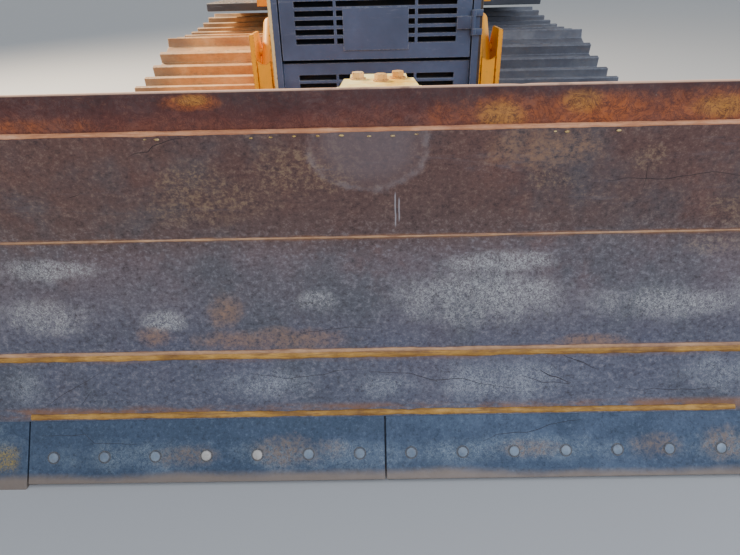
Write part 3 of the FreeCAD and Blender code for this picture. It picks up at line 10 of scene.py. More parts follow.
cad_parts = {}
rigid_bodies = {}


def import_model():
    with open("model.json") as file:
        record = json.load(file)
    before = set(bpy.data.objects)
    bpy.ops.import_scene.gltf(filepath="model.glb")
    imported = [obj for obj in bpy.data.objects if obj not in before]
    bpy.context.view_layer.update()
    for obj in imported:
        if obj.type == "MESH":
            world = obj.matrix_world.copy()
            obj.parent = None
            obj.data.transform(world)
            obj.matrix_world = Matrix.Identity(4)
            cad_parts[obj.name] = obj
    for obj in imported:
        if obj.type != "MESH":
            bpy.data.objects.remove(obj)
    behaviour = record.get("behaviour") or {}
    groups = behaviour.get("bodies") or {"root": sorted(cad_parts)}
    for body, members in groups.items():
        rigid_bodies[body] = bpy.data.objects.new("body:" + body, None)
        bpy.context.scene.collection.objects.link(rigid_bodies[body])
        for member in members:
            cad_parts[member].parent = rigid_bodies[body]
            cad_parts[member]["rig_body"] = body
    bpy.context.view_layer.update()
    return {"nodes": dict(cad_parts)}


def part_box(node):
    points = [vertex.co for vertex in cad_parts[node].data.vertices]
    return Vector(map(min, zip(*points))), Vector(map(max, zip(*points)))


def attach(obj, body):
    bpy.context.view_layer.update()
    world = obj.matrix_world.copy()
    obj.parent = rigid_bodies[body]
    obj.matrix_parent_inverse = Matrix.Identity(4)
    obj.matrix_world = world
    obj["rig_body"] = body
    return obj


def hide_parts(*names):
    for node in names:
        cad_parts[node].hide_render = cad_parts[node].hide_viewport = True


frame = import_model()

NODES = frame["nodes"]
SIDES = ((1, "left"), (-1, "right"))
chance = random.Random(7)

# Where the photographer stood: the lens is 1.34 m up, a little ahead of the blade
EYE = Vector((-0.020, -3.673, 1.342))
LOOK_DOWN, TURNED, ROLLED = (math.radians(angle) for angle in (28.74, 0.65, -1.36))
LENS, SENSOR = 27.56, 36.0


def tint(code):
    """A colour given as six hex digits, in linear light."""
    parts = [int(code[i:i + 2], 16) / 255 for i in (0, 2, 4)]
    return (*(c / 12.92 if c <= 0.04045 else ((c + 0.055) / 1.055) ** 2.4 for c in parts), 1.0)


class Finish:
    """A material built up in coats, from node patterns that read Object coordinates."""

    def __init__(self, name, roughness=0.5, metallic=0.0):
        self.material = bpy.data.materials.new(name)
        self.material.use_nodes = True
        self.tree = self.material.node_tree
        self.shader = self.tree.nodes["Principled BSDF"]
        self.fix({"Roughness": roughness, "Metallic": metallic})
        self.place = self.tree.nodes.new("ShaderNodeTexCoord").outputs["Object"]
        self.tone = self.relief = None

    def fix(self, values):
        """Sets what is the same all over the surface, on the shader's own sockets."""
        for key, value in values.items():
            self.shader.inputs[key].default_value = value

    def put(self, socket, value):
        """Links another node's output to a socket, or sets its value."""
        if isinstance(value, bpy.types.NodeSocket):
            self.tree.links.new(value, socket)
        else:
            socket.default_value = tint(value) if isinstance(value, str) else value

    def node(self, kind, inputs, **settings):
        """The outputs of a new node with these inputs and settings."""
        made = self.tree.nodes.new("ShaderNode" + kind)
        for key, value in settings.items():
            setattr(made, key, value)
        for key, value in inputs.items():
            self.put(made.inputs[key], value)
        return made.outputs

    def cloud(self, scale, detail=5.0, rough=0.6, size=None, shift=(0, 0, 0), warp=0.0):
        """Noise from 0 to 1."""
        where = self.place
        if size or any(shift):
            where = self.node("Mapping", {"Vector": where, "Scale": size or (1, 1, 1), "Location": shift})[0]
        return self.node("TexNoise", {"Vector": where, "Scale": scale, "Detail": detail, "Roughness": rough,
                                      "Distortion": warp})["Fac"]

    def cells(self, scale):
        return self.node("TexVoronoi", {"Vector": self.place, "Scale": scale, "Randomness": 1.0})["Distance"]

    def ribs(self, scale, warp):
        return self.node("TexWave", {"Vector": self.place, "Scale": scale, "Distortion": warp},
                         bands_direction="X")["Fac"]

    def maths(self, operation, first, second=0.0):
        return self.node("Math", {0: first, 1: second}, operation=operation)[0]

    def plus(self, first, second):
        return self.maths("ADD", first, second)

    def times(self, first, *others):
        for other in others:
            first = self.maths("MULTIPLY", first, other)
        return first

    def fade(self, value, low, high, bottom=0.0, top=1.0):
        """Maps low..high smoothly onto bottom..top."""
        return self.node("MapRange", {"Value": value, "From Min": low, "From Max": high, "To Min": bottom,
                                      "To Max": top}, interpolation_type="SMOOTHSTEP")[0]

    def patches(self, scale, detail, rough, low, high, top=1.0, bottom=0.0, **shape):
        """Noise cut between low and high."""
        return self.fade(self.cloud(scale, detail, rough, **shape), low, high, bottom, top)

    def gloss(self, scale, detail, rough, least, most):
        """Uneven roughness between two values."""
        return self.patches(scale, detail, rough, 0.3, 0.7, most, least)

    def sway(self, amount, *noise_values, **shape):
        """Noise round 0, as wide as amount."""
        return self.times(self.plus(self.cloud(*noise_values, **shape), -0.5), amount)

    def axis(self, name):
        return self.node("SeparateXYZ", {0: self.place})[name]

    def up_facing_share(self, low, high, most, *pattern):
        """The share of a coat on what faces up: dust, and on the swivel cap a painted sunlit top."""
        normal = self.node("NewGeometry", {})["Normal"]
        upward = self.node("SeparateXYZ", {0: normal})["Z"]
        return self.times(self.fade(upward, low, high, 0.0, most), self.patches(*pattern))

    def between(self, value, low, high, soft):
        """1 inside low..high, with soft borders."""
        return self.times(self.fade(value, low - soft, low + soft),
                          self.fade(value, high - soft, high + soft, 1.0, 0.0))

    def spots(self, places, ragged):
        """1 in the middle of each (across, up, half width, half height) place, fading at a ragged border."""
        x, z = self.axis("X"), self.axis("Z")
        nearest = None
        for across, up, wide, high in places:
            i = self.maths("DIVIDE", self.plus(x, -across), wide)
            j = self.maths("DIVIDE", self.plus(z, -up), high)
            far = self.plus(self.times(i, i), self.times(j, j))
            nearest = far if nearest is None else self.maths("MINIMUM", nearest, far)
        return self.fade(self.plus(nearest, ragged), -0.4, 1.7, 1.0, 0.0)

    def blend(self, amount, first, second):
        return self.node("Mix", {0: amount, 6: first, 7: second}, data_type="RGBA")[2]

    def coat(self, colour, share, strength=None):
        """Lays a colour over what is there, where share is 1."""
        self.tone = self.blend(share if strength is None else self.times(share, strength), self.tone, colour)

    def colours(self, value, *stops):
        """A colour ramp of (place, hex) stops."""
        made = self.tree.nodes.new("ShaderNodeValToRGB")
        self.put(made.inputs[0], value)
        ramp = made.color_ramp
        while len(ramp.elements) < len(stops):
            ramp.elements.new(0.5)
        for element, (place, code) in zip(ramp.elements, stops):
            element.position = place
            element.color = tint(code)
        return made.outputs["Color"]

    def worn_edges(self, reach):
        """About 1 on convex and concave edges, 0 on the flats."""
        rounded = self.node("Bevel", {"Radius": reach}, samples=4)[0]
        true = self.node("NewGeometry", {})["Normal"]
        along = self.node("VectorMath", {0: rounded, 1: true}, operation="DOT_PRODUCT")["Value"]
        return self.fade(along, 0.93, 0.995, 1.0, 0.0)

    def raise_by(self, height, depth, strength):
        """Adds a layer of bump, from a pattern or a cloud's values, whose full height is depth metres."""
        height = self.cloud(*height) if isinstance(height, tuple) else height
        inputs = {"Height": height, "Distance": depth, "Strength": strength}
        if self.relief is not None:
            inputs["Normal"] = self.relief
        self.relief = self.node("Bump", inputs)[0]

    def done(self, roughness=None, metallic=None):
        for key, value in (("Base Color", self.tone), ("Roughness", roughness), ("Metallic", metallic),
                           ("Normal", self.relief)):
            if value is not None:
                self.put(self.shader.inputs[key], value)
        return self.material


def machine_yellow(name="machine_yellow", base="ee9e00", faded="f2ae1c", chip_share=0.55, dust=0.36,
                   dust_and_sunlit_tint="c7b089", grimy=0.7):
    """Faded yellow paint with grime low down, dust on what faces up, chipped edges and rust; on the swivel cap the
    coat on what faces up is painted sunlight on its top.
    """
    f = Finish(name, 0.45)
    fading = f.cloud(2.2, 6, 0.6)
    f.tone = f.blend(f.fade(fading, 0.38, 0.68), base, faded)
    f.coat("a87436", f.patches(5.0, 6, 0.65, 0.52, 0.8, 0.45, size=(1.0, 1.0, 0.12)))
    grime = f.plus(f.axis("Z"), f.times(f.cloud(3.2, 9, 0.75, size=(1, 1, 0.5)), 1.1))
    f.coat("80602f", f.fade(grime, 1.55, 0.75, 0.0, grimy))
    f.coat("b98d3e", f.patches(21, 10, 0.8, 0.56, 0.70, 0.5, size=(1, 1, 0.35), warp=0.5))
    f.coat("6b4a20", f.patches(70, 8, 0.8, 0.60, 0.68, 0.55))
    edge = f.times(f.worn_edges(0.006), f.patches(60, 8, 0.7, 0.42, 0.6))
    chips = f.fade(f.plus(f.cloud(26, 9, 0.72), f.times(fading, 0.12)), chip_share + 0.13, chip_share + 0.17)
    bare = f.maths("MAXIMUM", edge, chips)
    f.coat(f.colours(f.cloud(45, 6, 0.7), (0.3, "3b2318"), (0.5, "6d3f22"), (0.75, "9a5f30")), bare)
    # Dust on what faces up; with the swivel cap's full share and near-white cream it is painted sunlight on the cap's
    # top.
    dust_and_sunlit_top = f.up_facing_share(0.35, 0.95, dust, 7, 8, 0.7, 0.3, 0.65)
    f.coat(dust_and_sunlit_tint, dust_and_sunlit_top)
    f.raise_by(bare, -0.0006, 0.5)
    f.raise_by((90, 4, 0.6), 0.0004, 0.25)
    return f.done(f.maths("MAXIMUM", f.fade(bare, 0, 1, 0.42, 0.8), f.fade(dust_and_sunlit_top, 0, 0.5, 0.4, 0.85)))


def charcoal_paint(name="charcoal_paint", deep="3d4b65", middle="4b5a77", pale="5b6b8a"):
    """Dark grey satin paint with scuffs, dust and pale edges; the blue cast of its default tones is painted sky shade.
    """
    f = Finish(name, 0.42)
    # Painted shade: the default deep, middle and pale tones are tinted blue for the shade under the sky.
    f.tone = f.colours(f.cloud(3.5, 6, 0.65), (0.3, deep), (0.55, middle), (0.8, pale))
    f.coat("828b99", f.patches(16, 9, 0.75, 0.56, 0.72, 0.4, size=(0.35, 1, 1.4), warp=0.6))
    f.coat("a3a7ad", f.times(f.worn_edges(0.005), f.patches(55, 7, 0.7, 0.4, 0.62)), 0.75)
    f.coat("9b8c76", f.up_facing_share(0.3, 0.95, 0.65, 9, 8, 0.7, 0.3, 0.6))
    f.raise_by((120, 4, 0.6), 0.0004, 0.3)
    return f.done(f.gloss(8, 7, 0.7, 0.34, 0.62))


def track_steel():
    """Track steel: a tan copy on the -X side painted as sunlight and a blue-grey copy on the +X side painted as shade,
    rubbed on its edges.
    """
    f = Finish("track_steel", 0.6)
    mottle = f.cloud(5, 8, 0.7)
    # Painted light: the tan copy is the sunlit look and the blue-grey copy the shaded look of the same steel, blended
    # by side.
    sunlit_tone = f.colours(mottle, (0.28, "b07a44"), (0.5, "cc9a60"), (0.72, "e2bc86"))
    grey = f.colours(mottle, (0.28, "4a4d55"), (0.5, "5d6069"), (0.72, "74767a"))
    side = f.fade(f.plus(f.axis("X"), f.sway(0.8, 2, 4, 0.6)), -0.35, 0.35)
    f.tone = f.blend(side, sunlit_tone, grey)
    f.coat("7d6a58", f.fade(f.plus(f.axis("X"), f.times(f.cloud(3, 6, 0.7), 0.3)), -1.0, -1.16), 0.65)
    f.coat("6f6259", f.patches(22, 9, 0.75, 0.50, 0.70, 0.55, size=(0.4, 1, 1)))
    f.coat("bfb3a3", f.patches(30, 8, 0.8, 0.58, 0.72, 0.4, size=(0.08, 1.2, 1.2), warp=0.3))
    edge = f.times(f.worn_edges(0.007), f.patches(40, 7, 0.7, 0.35, 0.6))
    # The rubbed edges also get a painted sunlit tan on the -X side and a painted shaded grey on the +X side.
    f.coat(f.blend(side, "e8c79a", "979da8"), edge, 0.85)
    f.raise_by((38, 8, 0.75), 0.0022, 0.5)
    f.raise_by((150, 5, 0.7), 0.0006, 0.4)
    return f.done(f.gloss(14, 8, 0.7, 0.42, 0.85), f.times(edge, 0.5))


def cast_iron(name="bare_iron", dark="2c2623", light="57493d"):
    """Brown-grey bare iron of rollers, shafts and pins."""
    f = Finish(name, 0.55, 0.35)
    f.tone = f.colours(f.cloud(12, 8, 0.7), (0.3, dark), (0.7, light))
    f.coat("7b5230", f.patches(40, 8, 0.75, 0.55, 0.7, 0.6))
    f.coat("7d766d", f.worn_edges(0.004))
    f.raise_by((70, 7, 0.7), 0.001, 0.5)
    return f.done(f.gloss(18, 7, 0.7, 0.45, 0.8))


def hard_chrome(name="rod_chrome"):
    """Ground and chromed rod with oily dust in rings."""
    f = Finish(name, 0.14, 1.0)
    dirt = f.patches(14, 8, 0.7, 0.5, 0.75, 0.55)
    f.tone = f.blend(dirt, "c9ccd0", "6d6558")
    f.raise_by((200, 4, 0.5), 0.0001, 0.2)
    return f.done(f.fade(dirt, 0, 0.5, 0.12, 0.5))


def dusty_glass():
    """Lightly tinted safety glass with a film of dust."""
    f = Finish("cab_window_glass", 0.05)
    dust = f.patches(4, 10, 0.78, 0.42, 0.8, 0.22, 0.02)
    f.tone = f.blend(dust, "58676a", "aaa492")
    f.fix({"Transmission Weight": 0.85, "IOR": 1.45, "Alpha": 0.55})
    return f.done(f.fade(dust, 0, 0.35, 0.04, 0.45))


def seat_cloth():
    """Dark grey cloth with a fine uneven weave and dusty wear."""
    f = Finish("seat_cloth", 0.85)
    weave = f.cloud(260, 3, 0.5)
    f.tone = f.blend(f.fade(weave, 0.4, 0.6), "24262b", "3b3e45")
    f.coat("6d6557", f.patches(9, 8, 0.7, 0.45, 0.75, 0.35))
    f.raise_by(weave, 0.0006, 0.4)
    f.fix({"Sheen Weight": 0.4})
    return f.done()


def black_trim(name="black_trim", light="2b2b2c"):
    """Moulded black plastic and heat-dulled black paint."""
    f = Finish(name, 0.5)
    f.tone = f.colours(f.cloud(9, 7, 0.7), (0.3, "121214"), (0.7, light))
    f.coat("66605a", f.worn_edges(0.004), 0.5)
    f.coat("8f806a", f.up_facing_share(0.3, 1, 0.5, 11, 7, 0.7, 0.35, 0.7))
    f.raise_by((220, 3, 0.5), 0.0004, 0.4)
    return f.done(f.gloss(15, 6, 0.7, 0.4, 0.75))


def scored_line():
    """The dark bottom of a scratch, with a little rust in it."""
    f = Finish("gouge_rust", 0.75)
    f.tone = f.colours(f.cloud(40, 6, 0.7), (0.4, "1c1518"), (0.7, "35272a"))
    f.raise_by((120, 4, 0.6), 0.0003, 0.3)
    return f.done()


def lamp_glass(name, clear, shade):
    """Pressed lamp glass with fine upright ribs."""
    f = Finish(name, 0.12)
    ribs = f.ribs(70.0, 0.0)
    f.tone = f.blend(f.times(ribs, 0.7), clear, shade)
    f.fix({"Coat Weight": 0.6})
    f.raise_by(ribs, 0.0012, 0.5)
    return f.done(f.patches(20, 6, 0.7, 0.4, 0.7, 0.35, 0.08))


def gauge_face():
    """A dark dial with pale marks."""
    f = Finish("gauge_face", 0.25)
    f.tone = f.blend(f.times(f.fade(f.cells(70), 0.08, 0.12, 1.0, 0.0), 0.7), "0e0f11", "b9b7ae")
    return f.done()


def radiator_fins():
    """Rows of dusty dark fins."""
    f = Finish("radiator_fins", 0.6, 0.4)
    fins = f.ribs(90.0, 0.4)
    f.tone = f.blend(fins, "1a1e26", "3d4450")
    f.coat("5c4d3c", f.patches(6, 8, 0.7, 0.45, 0.7, 0.6))
    f.raise_by(fins, 0.002, 0.8)
    return f.done()


# Worn places of the blade's face: across and up in metres, then half width and half height
WHITE_SCOUR = ((-0.98, 0.455, 0.15, 0.055), (-0.64, 0.44, 0.06, 0.03), (-0.19, 0.50, 0.06, 0.03),
               (0.28, 0.49, 0.24, 0.08), (0.82, 0.47, 0.22, 0.05), (0.34, 0.60, 0.16, 0.03),
               (-0.95, 0.60, 0.16, 0.03), (1.20, 0.50, 0.20, 0.06), (-1.38, 0.47, 0.14, 0.06))
LOW_SCOUR = ((0.36, 0.255, 0.22, 0.05), (0.98, 0.26, 0.08, 0.05), (-0.35, 0.25, 0.13, 0.04),
             (-1.08, 0.25, 0.07, 0.05), (1.38, 0.25, 0.14, 0.04), (0.02, 0.245, 0.10, 0.035))
YELLOW_FLECKS = ((-0.46, 0.80, 0.16, 0.08), (-0.19, 0.88, 0.16, 0.07), (0.45, 0.84, 0.07, 0.03),
                 (0.93, 0.64, 0.08, 0.03), (0.70, 0.90, 0.05, 0.04), (0.98, 0.74, 0.10, 0.05))
RUST_CLOUDS = ((-0.46, 0.47, 0.05, 0.05), (-0.33, 0.38, 0.20, 0.035), (-0.68, 0.39, 0.06, 0.03),
               (0.42, 0.92, 0.13, 0.05), (0.62, 0.36, 0.10, 0.02), (1.15, 0.90, 0.15, 0.06))
EDGE_ARCS = ((-0.26, 0.085, 0.13, 0.035), (-0.60, 0.075, 0.10, 0.025), (0.80, 0.085, 0.08, 0.03),
             (1.00, 0.085, 0.07, 0.035), (0.42, 0.08, 0.10, 0.02), (-1.35, 0.07, 0.10, 0.03))
EDGE_SCOUR = ((-0.75, 0.075, 0.24, 0.04), (-0.20, 0.075, 0.28, 0.035), (0.40, 0.08, 0.36, 0.03),
              (1.15, 0.08, 0.30, 0.035), (-1.30, 0.12, 0.20, 0.05))
LIP_ORANGE = ((0.62, 1.018, 0.50, 0.045), (-1.02, 1.005, 0.26, 0.024), (-0.47, 1.055, 0.07, 0.018),
              (-1.40, 1.02, 0.14, 0.04), (1.25, 1.02, 0.30, 0.045))
LIP_YELLOW = ((0.30, 1.01, 0.06, 0.03), (-0.47, 1.060, 0.04, 0.012), (0.50, 1.04, 0.05, 0.03),
              (0.85, 1.02, 0.08, 0.025), (-1.02, 1.00, 0.05, 0.012), (1.35, 1.01, 0.08, 0.03))


def blade_steel():
    """Bare steel of the blade: brown-purple above, grey-mauve in the middle, blue-grey below."""
    f = Finish("blade_face_steel", 0.5, 0.15)
    up = f.axis("Z")
    height = f.plus(up, f.sway(0.12, 1.6, 5, 0.6, size=(1.0, 1.0, 1.6)))
    f.tone = f.colours(f.fade(height, 0.10, 1.02), (0.0, "545765"), (0.20, "565766"), (0.36, "615c64"),
                       (0.60, "67585a"), (0.70, "5c4743"), (0.97, "5d403a"))
    f.coat("4b5056", f.patches(2.6, 7, 0.65, 0.45, 0.68, 0.6, shift=(3.1, 0, 0.4)))
    f.coat("6c473d", f.times(f.patches(3.6, 8, 0.7, 0.5, 0.7, 0.6, shift=(7.3, 0, 2.0)),
                             f.fade(up, 0.45, 0.65, 0.15, 1.0)))
    grain = f.cloud(85, 9, 0.82, size=(0.8, 1, 1))
    f.coat(f.blend(f.fade(up, 0.62, 0.78), "959095", "8d7566"), f.fade(grain, 0.50, 0.64, 0.0, 0.5))
    f.coat("2c2224", f.fade(grain, 0.48, 0.38, 0.0, 0.65))
    f.coat("3a2c2b", f.patches(46, 8, 0.75, 0.54, 0.68, 0.25, size=(1, 1, 0.12)))
    f.coat("817c80", f.patches(11, 10, 0.8, 0.55, 0.72, 0.35, size=(0.12, 1, 1.0), warp=0.5))
    f.raise_by((46, 10, 0.78), 0.0018, 0.5)
    f.raise_by(grain, 0.0008, 0.5)
    return f, f.gloss(10, 9, 0.75, 0.42, 0.78), grain


def moldboard_finish():
    """The blade's face: scoured and rusty places, the smooth oval with its white run, rust at seams."""
    f, rough, grain = blade_steel()
    x, z = f.axis("X"), f.axis("Z")
    ragged = f.sway(7.0, 5, 10, 0.85)
    worm = f.patches(135, 8, 0.9, 0.47, 0.55, warp=1.2, shift=(2, 0, 5))
    for places, pattern, strength, colour in (
            (WHITE_SCOUR, worm, 0.80, "bab9b7"), (LOW_SCOUR, worm, 0.70, "a3a7ac"),
            (YELLOW_FLECKS, f.fade(grain, 0.46, 0.60), 0.55, "93795a"),
            (RUST_CLOUDS, f.fade(grain, 0.36, 0.58), 0.62, "9a7150")):
        f.coat(colour, f.times(f.spots(places, ragged), pattern), strength)
    across = f.maths("DIVIDE", f.plus(x, 0.035), 0.155)
    upward = f.maths("DIVIDE", f.plus(z, -0.945), 0.125)
    far = f.maths("SQRT", f.plus(f.times(across, across), f.times(upward, upward)))
    far = f.plus(far, f.times(ragged, 0.11))
    oval = f.fade(far, 0.55, 1.15, 1.0, 0.0)
    f.coat("6f6366", oval, 0.55)
    f.coat("9a9292", f.times(f.between(far, 0.92, 1.04, 0.06), f.patches(13, 8, 0.7, 0.42, 0.6, 0.9, 0.15)), 0.30)
    run_x = f.plus(x, f.sway(0.010, 12, 3, 0.5))
    drip = f.times(f.between(run_x, 0.036, 0.0385, 0.0018), f.between(z, 0.712, 0.808, 0.008))
    side_drip = f.times(f.between(run_x, 0.046, 0.0485, 0.0018), f.between(z, 0.728, 0.792, 0.008))
    f.coat("c6c4ca", f.maths("MAXIMUM", drip, side_drip), 0.62)
    seam = None
    for height, reach in SEAM_HEIGHTS:
        band = f.fade(f.maths("ABSOLUTE", f.plus(z, -height)), 0.0, reach, 1.0, 0.0)
        seam = band if seam is None else f.maths("MAXIMUM", seam, band)
    f.coat("8a5c38", f.times(seam, f.patches(9, 8, 0.75, 0.40, 0.62, size=(0.4, 1, 1.4))), 0.8)
    return f.done(f.fade(oval, 0, 1, rough, 0.5), 0.15)


def edge_steel():
    """Blue-grey worn cutting edge, speckled round its bolts, with a beige rubbed band at the bottom."""
    f = Finish("cutting_edge_steel", 0.45, 0.3)
    x, z = f.axis("X"), f.axis("Z")
    ragged = f.sway(7.0, 6, 10, 0.85)
    f.tone = f.colours(f.cloud(5, 9, 0.72, size=(0.5, 1, 1)), (0.3, "39485a"), (0.5, "425166"), (0.72, "4f6074"))
    grain = f.cloud(90, 8, 0.82)
    f.coat("222a38", f.fade(grain, 0.48, 0.38, 0.0, 0.6))
    f.coat("8394a6", f.fade(grain, 0.52, 0.68, 0.0, 0.35))
    worm = f.patches(135, 8, 0.9, 0.46, 0.55, warp=1.2)
    f.coat("8d9aa2", f.times(f.spots(EDGE_SCOUR, ragged), worm), 0.62)
    f.coat("83694f", f.times(f.spots(EDGE_ARCS, ragged), f.fade(grain, 0.38, 0.6)), 0.72)
    f.coat("b0953f", f.times(f.fade(x, -1.08, -1.12), f.times(f.between(z, 0.05, 0.10, 0.02), worm)), 0.75)
    foot = f.plus(z, f.sway(0.05, 5, 8, 0.7, size=(0.4, 1, 1)))
    f.coat("8a7a6b", f.fade(foot, 0.016, 0.040, 0.85, 0.0))
    f.raise_by(grain, 0.0010, 0.5)
    f.raise_by((40, 10, 0.78), 0.0014, 0.5)
    return f.done(f.gloss(12, 9, 0.75, 0.38, 0.7))


def lip_steel():
    """Rusty lip: maroon scale, orange and old yellow low on it, a pale rim on top painted as sunlight on it."""
    f = Finish("lip_rust", 0.62, 0.1)
    z = f.axis("Z")
    ragged = f.sway(6.0, 5, 10, 0.82)
    height = f.plus(z, f.sway(0.10, 3, 6, 0.7))
    f.tone = f.colours(f.fade(height, LIP_FOOT, LIP_FOOT + 0.10), (0.0, "743e2c"), (0.35, "62332a"),
                       (0.7, "4e2a27"), (1.0, "442c2b"))
    f.coat("5e4340", f.patches(4, 8, 0.7, 0.46, 0.62, 0.6, shift=(5, 0, 0)))
    f.coat("ab5a24", f.spots(LIP_ORANGE, ragged), 0.85)
    f.coat("b98032", f.spots(LIP_YELLOW, ragged), 0.7)
    grain = f.cloud(80, 9, 0.82, size=(0.6, 1, 1))
    f.coat("9d6a52", f.fade(grain, 0.5, 0.68, 0.0, 0.28))
    f.coat("341a18", f.fade(grain, 0.49, 0.38, 0.0, 0.6))
    f.coat("4a1f18", f.between(f.cloud(17, 11, 0.85, warp=1.6), 0.485, 0.515, 0.012))
    f.coat("ddd2c0", f.times(f.fade(f.cells(14), 0.0, 0.05, 1.0, 0.0), f.patches(2.5, 3, 0.6, 0.5, 0.56)), 0.7)
    # Painted highlight: a pale cream band just under the top edge stands for sun on the lip's rim.
    f.coat("d3a98d", f.times(f.fade(z, LIP_TOP - 0.007, LIP_TOP - 0.003), f.patches(6, 6, 0.7, 0.3, 0.5, 1.0, 0.35)))
    f.raise_by((42, 10, 0.8), 0.0025, 0.6)
    f.raise_by(grain, 0.0008, 0.5)
    return f.done(f.gloss(15, 8, 0.7, 0.5, 0.8))


def weld_rust(name="weld_rust", low="6e4a2c", middle="a3762f", bright="c9984a", pale="d9b27c"):
    """Ochre weld metal with rust between its ripples."""
    f = Finish(name, 0.6, 0.1)
    f.tone = f.colours(f.cloud(24, 9, 0.75, size=(0.35, 1, 1)), (0.3, low), (0.46, middle), (0.62, bright),
                       (0.82, pale))
    f.coat(low, f.patches(3, 6, 0.7, 0.52, 0.66, 0.6))
    strands = f.cloud(150, 6, 0.7, size=(0.07, 1, 1), warp=0.4)
    f.coat(low, f.fade(strands, 0.50, 0.62, 0.0, 0.62))
    f.raise_by(strands, -0.0020, 0.7)
    f.raise_by((80, 8, 0.75), 0.0016, 0.6)
    return f.done(f.gloss(18, 6, 0.7, 0.45, 0.75))


# The blade's front from the edge's tip upwards, as lengths in metres and slopes in degrees: the edge, the weld
# over it, then the low, middle and top facets
FACETS = ((0.199, 55.7), (0.024, 55.7), (0.166, 64.0), (0.3540, 78.0), (0.2985, 93.0))
SLOPES = [math.radians(slope) for _, slope in FACETS]
TIP = Vector((0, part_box("cutting_edges")[0].y, 0))


def up_face(slope):
    """The direction up a facet of this slope."""
    return Vector((0, math.cos(slope), math.sin(slope)))


def out_of_face(slope):
    """The direction that a facet of this slope faces."""
    return Vector((0, -math.sin(slope), math.cos(slope)))


def facet_corners():
    """Points of the front face in the plane x = 0: the tip, then each facet's upper end."""
    points = [TIP.copy()]
    for (length, _), slope in zip(FACETS, SLOPES):
        points.append(points[-1] + up_face(slope) * length)
    return points


CORNERS = facet_corners()
SEAM_HEIGHTS = ((CORNERS[2].z, 0.022), (CORNERS[3].z, 0.026), (CORNERS[4].z, 0.012))
LIP_FOOT, LIP_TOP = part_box("top_lip")[0].z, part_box("top_lip")[1].z
HALF_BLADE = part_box("moldboard")[1].x

YELLOW = machine_yellow()
TOWER_YELLOW = machine_yellow("tower_yellow", "ffa600", "ffb00a", 0.60, 0.15, grimy=0.15)
# Painted highlight: a full share of near-white cream on what faces up stands for strong sun on the cap's top.
CAP_YELLOW = machine_yellow("swivel_yellow", "f2b02a", "f6c050", 0.60, 1.0, "fff2a6")
# Yellow paint of the guard's side strip, made pale cream as a painted sunlit edge.
GUARD_STRIP_SUNLIT = machine_yellow("guard_strip_paint_and_sunlight", "ecd089", "f6e6b8", 0.60, 0.1)
CHARCOAL = charcoal_paint()
FRAME_PAINT = charcoal_paint("frame_paint", "2f343d", "3a404a", "494f59")
TRACK = track_steel()
IRON = cast_iron()
CHROME = hard_chrome()
GLASS = dusty_glass()
CLOTH = seat_cloth()
TRIM = black_trim()
FINS = radiator_fins()
FACE = moldboard_finish()
EDGE = edge_steel()
LIP = lip_steel()
WELD = weld_rust()
PALE_WELD = weld_rust("pale_weld_rust", "8a6350", "b58a63", "cfa27c", "dcb795")
LIP_WELD = weld_rust("lip_weld_rust", "a86a4c", "c9875a", "dba078", "e6b48e")
GOUGE = scored_line()
COUNTERSINK_SHADE = cast_iron("countersink_painted_shade", "2c3440", "3a4452")
BOLT = cast_iron("bolt_iron", "5f6d80", "98a5af")
BRIGHT = cast_iron("bolt_bright", "a9a39b", "cfcac2")
DRIP = machine_yellow("drip_paint", "d9b35a", "e8d39a", 0.9, 0.1)
CAP_BOLT = machine_yellow("cap_bolt_paint", "e8a850", "f0c98a", 0.56, 0.5)
RUBBER = black_trim("window_rubber", "1c1c1d")
DARK_BOLT = cast_iron("dark_bolt", "3a3530", "6b6156")
MIRROR = hard_chrome("mirror_silver")
LAMP_GLASS = lamp_glass("lamp_glass", "d9dddc", "aeb4b3")
RED_GLASS = lamp_glass("red_lamp_glass", "a01612", "5e0e0c")
GAUGE = gauge_face()


def mesh_piece(name, shape, material, body="tractor", smooth=35.0, replaces=()):
    """Makes a bmesh into a piece that rides on a body; faces within the smooth angle shade as one."""
    mesh = bpy.data.meshes.new(name)
    shape.normal_update()
    shape.to_mesh(mesh)
    shape.free()
    piece = bpy.data.objects.new(name, mesh)
    bpy.context.scene.collection.objects.link(piece)
    mesh.materials.append(material)
    mesh.shade_smooth()
    mesh.set_sharp_from_angle(angle=math.radians(smooth))
    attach(piece, body)
    if replaces:
        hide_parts(*replaces)
    return piece


def merged_copy(node):
    """The shape of a CAD node with its flat triangles merged."""
    shape = bmesh.new()
    shape.from_mesh(NODES[node].data)
    bmesh.ops.remove_doubles(shape, verts=shape.verts, dist=1e-5)
    bmesh.ops.dissolve_limit(shape, angle_limit=math.radians(1.0), verts=shape.verts, edges=shape.edges,
                             delimit={"NORMAL"})
    return shape


def softened(node, material, width):
    """A copy of a CAD node with its sharp edges rounded."""
    piece = mesh_piece(node + "_body", merged_copy(node), material, NODES[node]["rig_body"], replaces=(node,))
    rounding = piece.modifiers.new("rounded_edges", "BEVEL")
    rounding.width = width
    rounding.segments = 2
    rounding.limit_method = "ANGLE"
    rounding.angle_limit = math.radians(35)
    rounding.use_clamp_overlap = True


